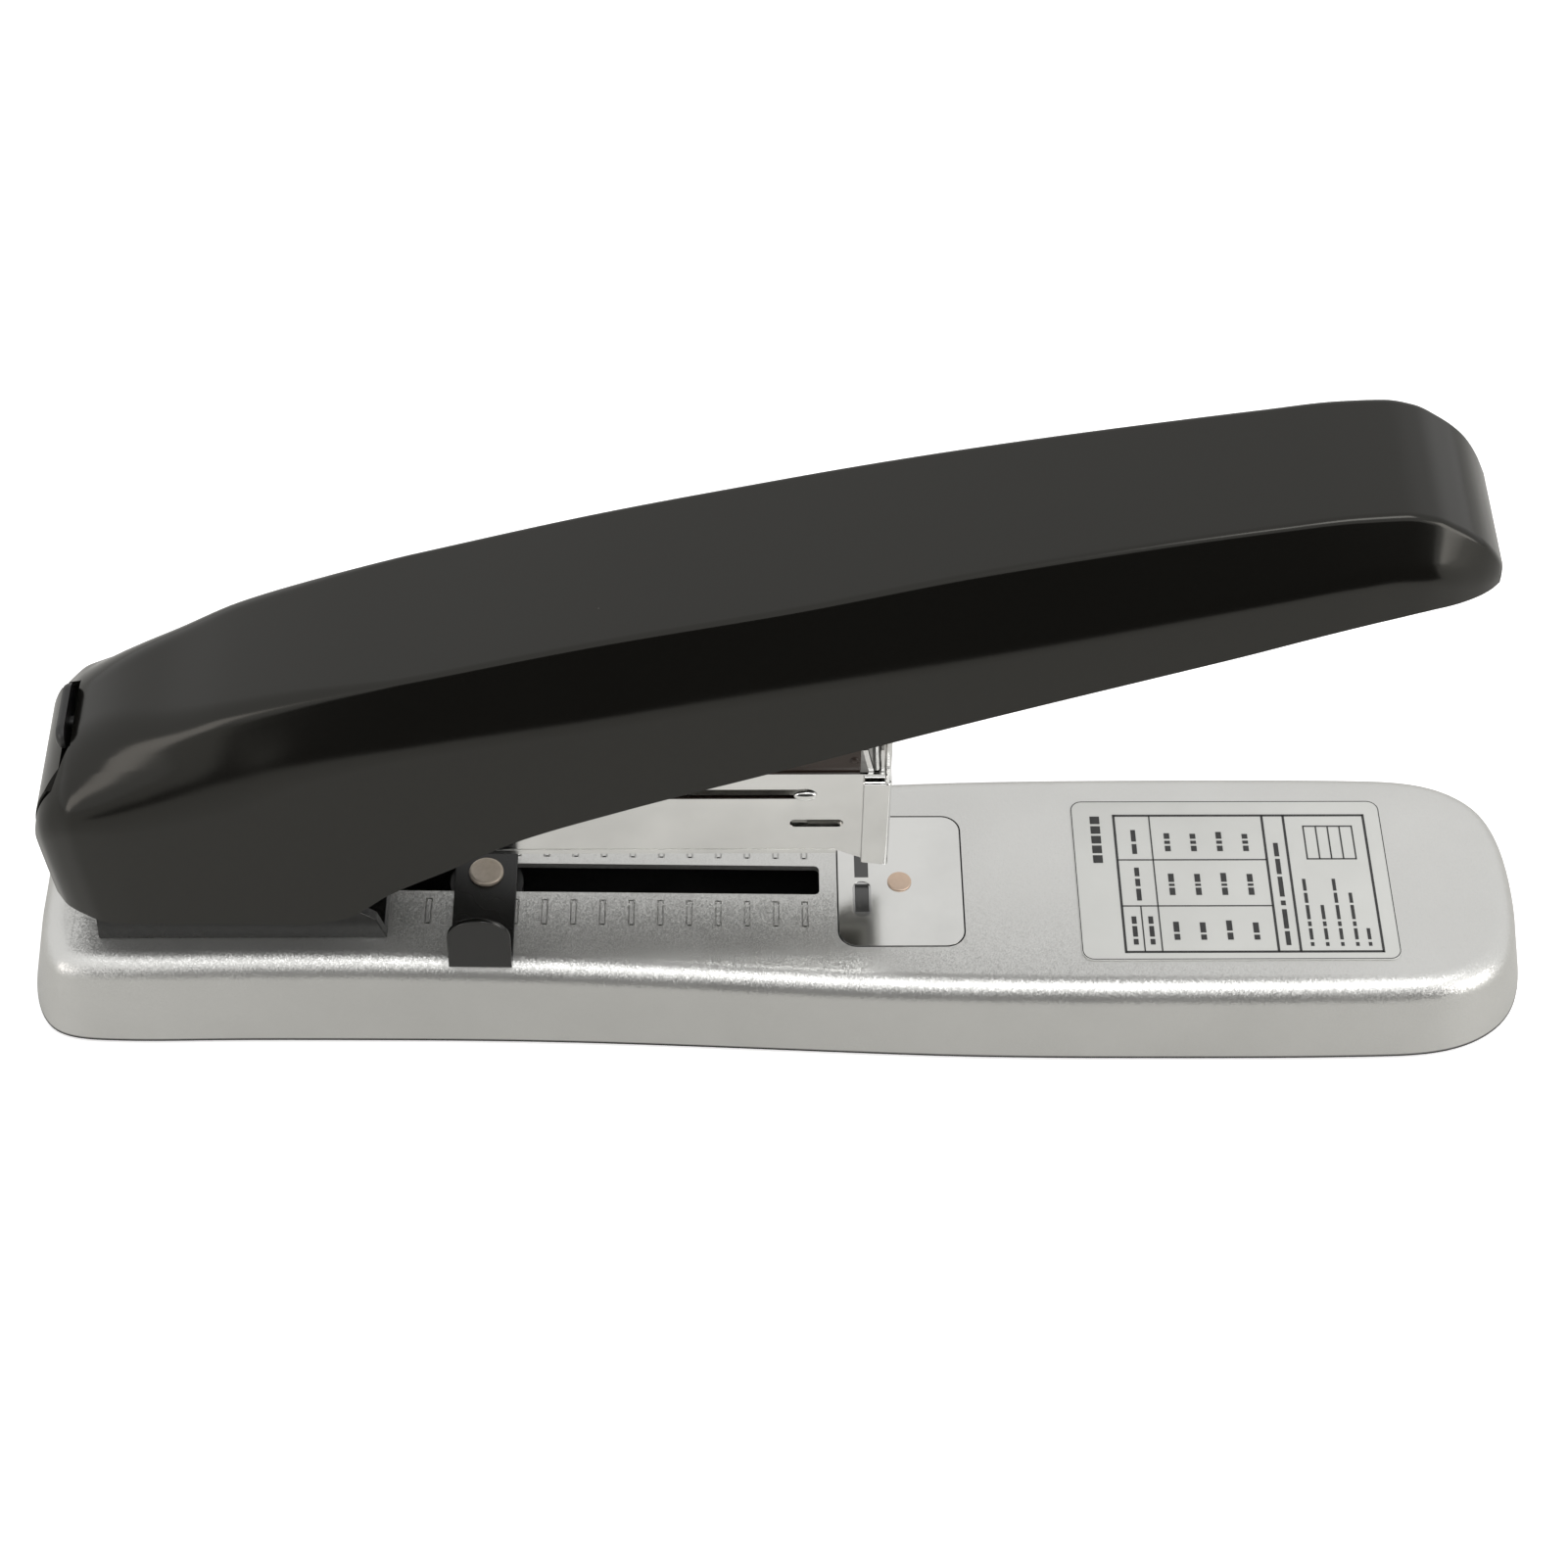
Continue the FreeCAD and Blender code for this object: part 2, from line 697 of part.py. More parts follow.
def make_guide():
    """A flat strip across the base with an upright thumb tab, riveted to a slider in the slot.

    Its pieces are drawn about the point of the ramp under the rivet, with the ramp level.
    """
    strip = new_body("guide_strip")
    sketch = new_sketch(strip, "YZ_Plane")
    top = "guide_lift + guide_sheet"
    polygon(
        sketch,
        [
            ("guide_far", "guide_lift"),
            ("guide_far", top),
            ("-guide_near + 1.3", top),
            ("-guide_near + 0.3", "guide_lift + 2.2"),
            ("-guide_near", "guide_tab"),
            ("-guide_near - guide_sheet", "guide_tab"),
            ("-guide_near - 0.6", "guide_lift + 1.6"),
            ("-guide_near + 0.9", "guide_lift"),
        ],
    )
    pad(strip, sketch, "2 * guide_half", centred=True)
    hole = new_sketch(strip, "XY_Plane")
    circle(hole, "0", "0", "guide_shank")
    pocket(strip, hole)
    tab_top = SIZES["guide_tab"] - 0.01
    round_edges(strip, "guide_half - 0.15", lambda edge: edge.BoundBox.ZMin > tab_top
                and edge.BoundBox.XLength < 0.01)
    round_edges(strip, "2.5", lambda edge: runs_along(2)(edge) and edge.BoundBox.YMin > 6)

    slider = new_body("guide_slider")
    neck = new_sketch(slider, "XY_Plane", "guide_lift")
    circle(neck, "0", "0", "slot_half - slider_gap")
    pad(slider, neck, "shell_sheet + guide_lift + 0.2", reverse=True)
    disc = new_sketch(slider, "XY_Plane", "-shell_sheet - 0.2")
    circle(disc, "0", "0", "slot_half + 3.2")
    pad(slider, disc, "1.6", reverse=True)
    bore = new_sketch(slider, "XY_Plane")
    circle(bore, "0", "0", "guide_shank")
    pocket(slider, bore)

    rivet = new_body("guide_rivet")
    head = new_sketch(rivet, "XY_Plane", top)
    circle(head, "0", "0", "guide_rivet_radius")
    pad(rivet, head, "0.8")
    shank = new_sketch(rivet, "XY_Plane", top)
    circle(shank, "0", "0", "guide_shank")
    pad(rivet, shank, f"{top} + shell_sheet + 2.0", reverse=True)
    tail = new_sketch(rivet, "XY_Plane", "-shell_sheet - 1.8")
    circle(tail, "0", "0", "2.6")
    pad(rivet, tail, "0.6", reverse=True)
    head_top = SIZES["guide_lift"] + SIZES["guide_sheet"] + 0.7
    round_edges(rivet, "0.5", lambda edge: edge.BoundBox.ZMin > head_top)

    lean = math.degrees(math.atan(cell("slope")))
    level = base_top_at(cell("guide_place"))
    for body in (strip, slider, rivet):
        turn = FreeCAD.Rotation(FreeCAD.Vector(0, 1, 0), lean)
        body.Placement = FreeCAD.Placement(FreeCAD.Vector(cell("guide_place"), 0, level), turn)


# ---------------------------------------------------------------- magazine


def side_slot(body, left, right, middle, half_height):
    """A long hole with round ends through both sides of a channel."""
    sketch = new_sketch(body, "XZ_Plane")
    rectangle(sketch, left, right, f"{middle} - {half_height}", f"{middle} + {half_height}")
    pocket(body, sketch)


def make_magazine_channel():
    outline = [
        ("-9", "-6"),
        ("-3", "mag_bottom"),
        ("nose_start", "mag_bottom"),
        ("nose_start + 2", "mag_bottom - 1.1"),
        ("nose_start + 4", "nose_bottom + 0.9"),
        ("mag_front - 0.1", "nose_bottom"),
        ("mag_front - 0.1", "mag_top"),
        ("-9", "mag_top"),
    ]
    body = side_slab("magazine_channel", outline, "mag_half", hinged=True)
    cut_side_slab(
        body,
        [
            ("-40", "mag_bottom + mag_sheet"),
            ("floor_end", "mag_bottom + mag_sheet"),
            ("floor_end", "mag_bottom - 9"),
            ("140", "mag_bottom - 9"),
            ("140", "40"),
            ("-40", "40"),
        ],
        "mag_half - mag_sheet",
    )
    cut_side_hole(body, "0", "0", "pin_radius + running_gap")
    crease = new_sketch(body, "YZ_Plane")
    for side in ("", "-1 * "):
        polygon(crease, [(f"{side}mag_half", "crease"), (f"{side}(mag_half + 1)", "crease"),
                         (f"{side}(mag_half + 1)", "mag_top + 1"),
                         (f"{side}(mag_half - crease_lean)", "mag_top + 1")])
    pocket(body, crease)
    hem = new_sketch(body, "YZ_Plane", "floor_end")
    for side in ("", "-1 * "):
        polygon(hem, [(f"{side}(mag_half - hem_depth)", "hem_low"),
                      (f"{side}(mag_half + 1)", "hem_low"),
                      (f"{side}(mag_half + 1)", "hem_high"),
                      (f"{side}(mag_half - hem_depth)", "hem_high")])
    pocket(body, hem, "lip_end - floor_end", reverse=True)
    lip = new_sketch(body, "YZ_Plane", "floor_end")
    for side in ("", "-1 * "):
        polygon(lip, [(f"{side}lip_half", "lip_bottom"), (f"{side}lip_half", "mag_bottom + 1"),
                      (f"{side}(lip_half - lip_sheet)", "mag_bottom + 1"),
                      (f"{side}(lip_half - lip_sheet)", "lip_bottom")])
    pad(body, lip, "lip_end - floor_end")
    side_slot(body, "window_left", "window_right", "window_height", "window_half")
    side_slot(body, "short_slot_left", "short_slot_right", "short_slot_height",
              "short_slot_half")
    slot_ends = [SIZES[name] for name in ("window_left", "window_right", "short_slot_left",
                                          "short_slot_right")]

    def slot_corner(edge):
        if not runs_along(1)(edge):
            return False
        return min(abs(edge.BoundBox.XMin - end) for end in slot_ends) < 0.01

    round_edges(body, "0.9", slot_corner)


def make_inner_channel():
    body = side_slab(
        "inner_channel",
        [("inner_left", "inner_bottom"), ("inner_right", "inner_bottom"),
         ("inner_right", "inner_top"), ("inner_left", "inner_top")],
        "inner_half",
        hinged=True,
    )
    cut_side_slab(body, [("0", "0"), ("140", "0"), ("140", "inner_top - inner_sheet"),
                         ("0", "inner_top - inner_sheet")], "inner_half - inner_sheet")
    round_edges(body, "0.8", lambda edge: runs_along(0)(edge)
                and edge.BoundBox.ZMin > SIZES["inner_top"] - 0.01)


def make_front_cap():
    """The cap folds round the nose; a narrower tongue stands up in front of the blade."""
    body = side_slab(
        "front_cap",
        [("cap_rear", "nose_bottom + 0.6"), ("cap_front", "nose_bottom - 0.2"),
         ("cap_front", "cap_top"), ("cap_rear", "cap_top")],
        "cap_half",
        hinged=True,
    )
    cut_side_slab(body, [("0", "-40"), ("mag_front", "-40"), ("mag_front", "40"), ("0", "40")],
                  "mag_half")
    tongue = new_sketch(body, "XZ_Plane")
    rectangle(tongue, "mag_front", "cap_front", "cap_top - 1", "cap_tongue_top")
    pad(body, tongue, "2 * cap_tongue_half", centred=True)
    round_edges(body, "0.9", lambda edge: runs_along(2)(edge)
                and edge.BoundBox.XMin > SIZES["cap_front"] - 0.01
                and abs(edge.BoundBox.YMin) > 8)


def make_staple_rail():
    body = side_slab(
        "staple_rail",
        [("rail_left", "rail_bottom"), ("rail_right", "rail_bottom"),
         ("rail_right", "rail_top"), ("rail_left", "rail_top")],
        "rail_half",
        hinged=True,
    )
    cut_side_slab(body, [("0", "-20"), ("rail_right - 0.8", "-20"),
                         ("rail_right - 0.8", "rail_top - rail_sheet"),
                         ("0", "rail_top - rail_sheet")], "rail_half - rail_sheet")
    stem_slot = new_sketch(body, "XY_Plane", "rail_top - rail_sheet - 1")
    rectangle(stem_slot, "rail_left + 6", "rail_right - 3", "-1.6", "1.6")
    pocket(body, stem_slot, "4", reverse=True)
    rod_hole = new_sketch(body, "YZ_Plane", "rail_right - 2")
    circle(rod_hole, "0", "rod_height", "rod_radius")
    pocket(body, rod_hole, "3", reverse=True)

    holder = side_slab(
        "rail_support",
        [("6", "mag_bottom + mag_sheet"), ("rail_left + 5", "mag_bottom + mag_sheet"),
         ("rail_left + 5", "rail_top - rail_sheet"), ("rail_left", "rail_top - rail_sheet"),
         ("rail_left", "rail_top"), ("6", "rail_top")],
        "rail_half - rail_sheet",
        hinged=True,
    )
    hole = new_sketch(holder, "YZ_Plane")
    circle(hole, "0", "rod_height", "rod_radius")
    pocket(holder, hole)

    rod = new_body("pusher_rod", hinged=True)
    sketch = new_sketch(rod, "YZ_Plane", "8")
    circle(sketch, "0", "rod_height", "rod_radius")
    pad(rod, sketch, "rail_right - 8")


def make_pusher():
    """A saddle over the rail with a stem and collar that run on the rod."""
    body = side_slab(
        "staple_pusher",
        [("pusher_left", "rail_bottom + 1"), ("pusher_right", "rail_bottom + 1"),
         ("pusher_right", "rail_top + 1.3"), ("pusher_left", "rail_top + 1.3")],
        "rail_half + 1.1",
        hinged=True,
    )
    cut_side_slab(body, [("0", "-20"), ("140", "-20"), ("140", "rail_top + 0.2"),
                         ("0", "rail_top + 0.2")], "rail_half + 0.15")
    stem = new_sketch(body, "XZ_Plane")
    rectangle(stem, "pusher_left", "pusher_right - 4.2", "rod_height + 1", "rail_top + 0.4")
    pad(body, stem, "2.6", centred=True)
    collar = new_sketch(body, "YZ_Plane", "pusher_left")
    circle(collar, "0", "rod_height", "3.2")
    pad(body, collar, "pusher_right - pusher_left - 4.2")
    bore = new_sketch(body, "YZ_Plane")
    circle(bore, "0", "rod_height", "rod_radius + running_gap")
    pocket(body, bore)

    start = FreeCAD.Vector(cell("rail_left") + 5.2, 0, cell("rod_height"))
    length = cell("pusher_left") - start.x - 0.2
    spring("pusher_spring", start, FreeCAD.Vector(1, 0, 0), length, 2.2, 0.35, 24, True)


def make_rear_cap():
    """The curved plate in the cover's rear opening, about the hinge axis, and the button's seat."""
    outer = cell("rear_cap_radius")
    inner = outer - cell("rear_cap_sheet")
    low_angle = math.radians(3)
    high_angle = math.asin(cell("rear_cap_top") / outer)
    wide = cell("rear_cap_low_half")

    def polar(radius, angle):
        return FreeCAD.Vector(-radius * math.cos(angle), -wide, radius * math.sin(angle))

    def arc(radius, start, end):
        middle = polar(radius, 0.5 * (start + end))
        return Part.Arc(polar(radius, start), middle, polar(radius, end)).toShape()

    ends = [
        Part.LineSegment(polar(outer, high_angle), polar(inner, high_angle)).toShape(),
        Part.LineSegment(polar(inner, low_angle), polar(outer, low_angle)).toShape(),
    ]
    outline = Part.Wire([arc(outer, low_angle, high_angle), ends[0],
                         arc(inner, high_angle, low_angle), ends[1]])
    plate = Part.Face(outline).extrude(FreeCAD.Vector(0, 2 * wide, 0))
    narrow = cell("rear_cap_high_half")
    shoulder = cell("rear_cap_shoulder")
    high = cell("rear_cap_top") + 1
    shape = [(-wide, -1), (wide, -1), (wide, shoulder), (narrow, high), (-narrow, high),
             (-wide, shoulder)]
    front_view = Part.makePolygon([FreeCAD.Vector(-20, y, z) for y, z in shape + shape[:1]])
    plate = plate.common(Part.Face(front_view).extrude(FreeCAD.Vector(20, 0, 0)))

    rear = cell("seat_rear")
    front = cell("seat_front")
    half = cell("seat_half")
    low = cell("seat_low")
    low_half = cell("seat_low_half")
    low_seat = box_between(rear, front, -low_half, low_half, low, cell("seat_shoulder"))
    seat = box_between(rear, front, -half, half, low, cell("seat_top"))
    web = box_between(-inner - 0.1, front, -half, half, low, low + cell("seat_web"))
    web = web.common(Part.makeCylinder(inner + 0.3, 2 * half, FreeCAD.Vector(0, -half, 0),
                                       FreeCAD.Vector(0, 1, 0)))
    stem_hole = Part.makeCylinder(cell("button_stem_radius") + cell("running_gap"), 12,
                                  FreeCAD.Vector(-15, 0, cell("button_stem_height")),
                                  FreeCAD.Vector(1, 0, 0))
    cap = plate.fuse([low_seat, seat, web]).removeSplitter().cut(stem_hole)
    feature_node("rear_cap", cap, True)


def make_button():
    """A pillow-shaped button across the rear opening, on a round stem."""
    body = new_body("release_button", hinged=True)
    head = new_sketch(body, "YZ_Plane", "button_front")
    rectangle(head, "-button_half", "button_half", "button_low", "button_high")
    pad(body, head, "button_front - button_rear", reverse=True)
    round_edges(body, "button_corner", runs_along(0))
    rearmost = SIZES["button_rear"] + 0.01
    round_edges(body, "button_corner - 1.0", lambda edge: edge.BoundBox.XMax < rearmost)
    stem = new_sketch(body, "YZ_Plane", "button_front")
    circle(stem, "0", "button_stem_height", "button_stem_radius")
    pad(body, stem, "6.8")


# ---------------------------------------------------------------- driver


def make_driver():
    blade = side_slab(
        "driver_blade",
        [("blade_left", "blade_bottom"), ("blade_left + blade_thickness", "blade_bottom"),
         ("blade_left + blade_thickness", "blade_top"), ("blade_left", "blade_top")],
        "blade_half",
        hinged=True,
    )
    face = "blade_left + blade_thickness"
    holder = side_slab(
        "driver_holder",
        [(face, "holder_bottom"), (f"{face} + holder_length", "holder_bottom"),
         (f"{face} + holder_length", "holder_top"), (face, "holder_top")],
        "holder_half",
        hinged=True,
    )
    half_slot = "(drive_pin_radius + drive_slot_gap)"
    long_hole = new_sketch(holder, "XZ_Plane")
    rectangle(long_hole, "drive_pin_place - drive_slot_rear", "drive_pin_place + drive_slot_front",
              f"drive_pin_height - {half_slot}", f"drive_pin_height + {half_slot}")
    pocket(holder, long_hole)
    round_edges(holder, "1.2", lambda edge: runs_along(1)(edge)
                and edge.BoundBox.XMin > 134)
    for body in (blade, holder):
        holes = new_sketch(body, "YZ_Plane", "blade_left - 1")
        for along in ("-4.5", "4.5"):
            circle(holes, along, "drive_pin_height - 3.4", "0.8")
        pocket(body, holes, "4.0", reverse=True)

    rivets = new_body("holder_rivets", hinged=True)
    rivets.AllowCompound = True
    shank = new_sketch(rivets, "YZ_Plane", "blade_left")
    head = new_sketch(rivets, "YZ_Plane", "blade_left")
    for along in ("-4.5", "4.5"):
        circle(shank, along, "drive_pin_height - 3.4", "0.8")
        circle(head, along, "drive_pin_height - 3.4", "1.3")
    pad(rivets, shank, "2.9")
    pad(rivets, head, "0.5", reverse=True)


# ---------------------------------------------------------------- handle

# Stations of the cover along X from the hinge pin: top height, half width of the flat top,
# height of the bevel's lower edge and half width of the walls.
COVER_STATIONS = [
    (-17.9, 3.0, 5.6, 0.6, 12.0),
    (-16.0, 8.4, 6.0, 5.0, 14.8),
    (-13.0, 13.0, 6.5, 8.4, 16.4),
    (-10.0, 16.4, 7.0, 10.4, 17.2),
    (-2.0, 21.8, 9.0, 11.6, 17.5),
    (7.0, 25.4, 11.2, 13.2, 17.5),
    (17.0, 29.8, 12.7, 15.8, 17.6),
    (29.0, 34.0, 13.2, 21.9, 17.9),
    (46.0, 38.9, 14.0, 27.0, 18.2),
    (77.0, 48.0, 14.4, 34.4, 18.5),
    (105.0, 55.1, 14.6, 41.6, 18.5),
    (136.0, 63.0, 13.8, 49.4, 18.3),
    (180.0, 71.9, 12.9, 61.4, 17.6),
    (191.0, 73.7, 12.8, 64.4, 17.4),
    (198.0, 74.1, 12.7, 65.5, 17.0),
    (202.5, 73.2, 12.6, 65.2, 16.6),
    (206.5, 71.0, 12.4, 64.0, 15.7),
    (210.8, 67.6, 12.0, 62.0, 14.0),
    (213.6, 63.8, 11.2, 60.4, 12.2),
    (215.0, 61.0, 10.2, 59.4, 10.8),
]
# Points of the cover's lower edge, X from the hinge pin and height.
COVER_LOWER_EDGE = [
    (-30.0, -15.2),
    (-15.0, -16.6),
    (-8.0, -18.2),
    (24.0, -18.2),
    (32.0, -16.6),
    (40.8, -9.4),
    (51.0, -2.9),
    (62.2, 4.5),
    (80.5, 12.8),
    (100.4, 20.6),
    (139.4, 35.5),
    (174.8, 48.0),
    (197.2, 55.9),
    (205.0, 57.6),
    (230.0, 58.0),
]
# Half of the cover's rear opening, seen from behind, from its sill upwards.
REAR_OPENING = [(11.9, -3.2), (11.9, 10.0), (7.2, 15.6), (7.2, 40.0)]
COVER_FLOOR = -30.0


def cover_section(station, inset):
    """One cross-section: floor, wall, bevel, flat top and back, all moved in by inset."""
    place, top, ridge, low, wall = station
    slope_across = wall - ridge
    slope_down = top - low
    length = math.hypot(slope_across, slope_down)
    normal = (slope_down / length, slope_across / length)
    reach = normal[0] * wall + normal[1] * low - inset
    new_wall = wall - inset
    new_top = top - inset
    new_low = (reach - normal[0] * new_wall) / normal[1]
    new_ridge = (reach - normal[1] * new_top) / normal[0]
    half = [(new_wall, COVER_FLOOR), (new_wall, new_low), (new_ridge, new_top)]
    ring = half + [(-across, up) for across, up in reversed(half)]
    points = [FreeCAD.Vector(place, across, up) for across, up in ring]
    return Part.makePolygon(points + points[:1])


def cover_block(inset):
    stations = COVER_STATIONS
    if inset:
        rear = COVER_STATIONS[0][0] + inset
        front = COVER_STATIONS[-1][0] - 2.2 * inset
        inner = [item for item in COVER_STATIONS if rear + 0.5 < item[0] < front - 0.5]
        stations = [station_at(rear)] + inner + [station_at(front)]
    return Part.makeLoft([cover_section(item, inset) for item in stations], True, True)


def station_at(place):
    """The cover's station at any place, straight between its neighbours."""
    for before, after in zip(COVER_STATIONS, COVER_STATIONS[1:]):
        if before[0] <= place <= after[0]:
            share = (place - before[0]) / (after[0] - before[0])
            return tuple(a + share * (b - a) for a, b in zip(before, after))
    raise ValueError("place lies outside the cover")


def make_handle_cover():
    """A shell with a flat top, long bevels and upright walls; its lower edge is one outline."""
    shell = cover_block(0).cut(cover_block(cell("cover_wall")))
    near = -40
    left, right = COVER_LOWER_EDGE[0][0], COVER_LOWER_EDGE[-1][0]
    line = [FreeCAD.Vector(x, near, z) for x, z in COVER_LOWER_EDGE]
    closing = [FreeCAD.Vector(right, near, 120), FreeCAD.Vector(left, near, 120)]
    region = Part.Face(Part.makePolygon(line + closing + line[:1]))
    shell = shell.common(region.extrude(FreeCAD.Vector(0, -2 * near, 0)))
    opening = REAR_OPENING + [(-across, up) for across, up in reversed(REAR_OPENING)]
    outline = Part.makePolygon([FreeCAD.Vector(left, y, z) for y, z in opening + opening[:1]])
    opening_depth = 20
    shell = shell.cut(Part.Face(outline).extrude(FreeCAD.Vector(opening_depth, 0, 0)))
    for place in screw_places():
        shell = shell.fuse(screw_boss(*place)).cut(screw_hole(*place))
    feature_node("handle_cover", shell, True)


def make_handle_frame():
    """The lever: an upside-down channel that rises from the pin to the nose."""
    body = side_slab(
        "handle_frame",
        [
            ("-7", "-7"),
            ("9", "-7"),
            ("100", "26"),
            ("121", "34.5"),
            ("133", "34.5"),
            ("140", "43"),
            ("186", "58"),
            ("192", "63"),
            ("188", "64.5"),
            ("140", "55.5"),
            ("80", "40.5"),
            ("30", "26"),
            ("8", "16"),
            ("-3", "9"),
            ("-7", "4"),
        ],
        "frame_half",
        hinged=True,
    )
    web = "frame_sheet"
    cut_side_slab(
        body,
        [
            ("-30", "-30"),
            ("230", "-30"),
            ("230", f"63 - {web}"),
            ("188", f"64.5 - {web}"),
            ("140", f"55.5 - {web}"),
            ("80", f"40.5 - {web}"),
            ("30", f"26 - {web}"),
            ("26", "40"),
            ("-30", "40"),
        ],
        "frame_half - frame_sheet",
    )
    cut_side_hole(body, "0", "0", "pin_radius + running_gap")
    cut_side_hole(body, "drive_pin_place", "drive_pin_height", "drive_pin_radius")
    holes = new_sketch(body, "XY_Plane")
    for across, _ in screw_places():
        circle(holes, across, "0", "1.6")
    pocket(body, holes)

    pin = new_body("drive_pin", hinged=True)
    sketch = new_sketch(pin, "XZ_Plane")
    circle(sketch, "drive_pin_place", "drive_pin_height", "drive_pin_radius")
    pad(pin, sketch, "2 * frame_half + 2", centred=True)
    round_edges(pin, "0.5", lambda edge: edge.Curve.TypeId == "Part::GeomCircle")


def screw_places():
    """Places along X of the two cover screws, with the height of the lever's web there."""
    return [(cell("screw_rear"), cell("screw_rear_web")),
            (cell("screw_front"), cell("screw_front_web"))]


def screw_head_level(web_top):
    """Underside of the screw's head, which sits against the web from below."""
    return web_top - cell("frame_sheet") - cell("screw_head") - 1.5


def screw_boss(across, web_top):
    ceiling = station_at(across)[1] - cell("cover_wall")
    low = web_top + 1.4
    return Part.makeCylinder(cell("screw_boss_radius"), ceiling - low + 0.8,
                             FreeCAD.Vector(across, 0, low))


def screw_hole(across, web_top):
    start = web_top - 4
    length = cell("screw_length") + 0.8
    return Part.makeCylinder(cell("screw_radius"), length, FreeCAD.Vector(across, 0, start))


def make_cover_screws():
    """Two screws, heads under the lever's web, threaded into the cover's bosses."""
    head_height = cell("screw_head")
    screws = []
    for across, web_top in screw_places():
        low = FreeCAD.Vector(across, 0, screw_head_level(web_top))
        middle = FreeCAD.Vector(across, 0, low.z + head_height - 0.2)
        shank = Part.makeCylinder(cell("screw_radius"), cell("screw_length"), middle)
        head = Part.makeCylinder(cell("screw_head_radius"), head_height, low)
        recess = Part.makeCylinder(cell("screw_recess_radius"), 0.8, low)
        screws.append(shank.fuse(head).cut(recess))
    feature_node("cover_screws", Part.makeCompound(screws), True)


def make_handle_spring():
    start = FreeCAD.Vector(40, 0, cell("inner_top") + 0.2)
    web_under = 26 + (40 - 30) * 0.29 - cell("frame_sheet")
    length = web_under - start.z - 2.2
    spring("handle_spring", start, FreeCAD.Vector(0, 0, 1), length, 4.6, 0.6, 5, True)


make_base_shell()
make_base_tray()
make_rubber_feet()
make_anvil()
make_label()
make_bracket()
make_hinge_pin()
make_lift_spring()
make_guide()
make_magazine_channel()
make_inner_channel()
make_front_cap()
make_staple_rail()
make_pusher()
make_rear_cap()
make_button()
make_driver()
make_handle_cover()
make_handle_frame()
make_cover_screws()
make_handle_spring()
doc.recompute()

# ---------------------------------------------------------------- checks and export

for item in doc.Objects:
    if "Invalid" in item.State or "Error" in item.State:
        raise RuntimeError(f"{item.Label} failed: {item.State}")
for node in nodes:
    if node.Shape.isNull() or not node.Shape.isValid() or node.Shape.Volume <= 0:
        raise RuntimeError(f"{node.Label} has no valid shape")

os.makedirs("parts", exist_ok=True)
for node in nodes:
    node.Shape.exportStep(f"parts/{node.Label}.step")
    box = node.Shape.BoundBox
    print(f"{node.Label:18s} {len(node.Shape.Solids)} solids {node.Shape.Volume:9.1f} mm3 "
          f"x {box.XMin:7.1f}..{box.XMax:6.1f} y {box.YMin:6.1f}..{box.YMax:5.1f} "
          f"z {box.ZMin:6.1f}..{box.ZMax:6.1f}")
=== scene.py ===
import json
import math
import random

import bmesh
import bpy
import numpy as np
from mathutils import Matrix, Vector


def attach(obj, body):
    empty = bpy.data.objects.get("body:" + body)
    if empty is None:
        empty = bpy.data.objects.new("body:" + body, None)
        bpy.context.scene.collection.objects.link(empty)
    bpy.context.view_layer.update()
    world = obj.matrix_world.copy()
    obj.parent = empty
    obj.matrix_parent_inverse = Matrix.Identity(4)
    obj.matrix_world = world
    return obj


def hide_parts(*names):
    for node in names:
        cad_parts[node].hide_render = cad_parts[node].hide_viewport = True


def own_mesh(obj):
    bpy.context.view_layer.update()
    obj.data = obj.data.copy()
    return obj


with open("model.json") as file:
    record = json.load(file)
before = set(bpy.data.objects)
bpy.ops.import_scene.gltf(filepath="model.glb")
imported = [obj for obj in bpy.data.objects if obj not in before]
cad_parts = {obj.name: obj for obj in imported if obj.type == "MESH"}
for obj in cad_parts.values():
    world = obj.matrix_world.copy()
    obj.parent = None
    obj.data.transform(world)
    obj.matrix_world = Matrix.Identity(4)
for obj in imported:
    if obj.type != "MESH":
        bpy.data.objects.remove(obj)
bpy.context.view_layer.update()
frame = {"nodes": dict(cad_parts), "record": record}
random.seed(7)

MM = 0.001
HINGE = next(joint["pos_m"] for joint in frame["record"]["behaviour"]["joints"]
             if joint["name"] == "handle_press")
HINGE_X = round(HINGE[0] / MM, 3)
HINGE_Z = round(HINGE[2] / MM, 3)


# ---------------------------------------------------------------- shader helpers


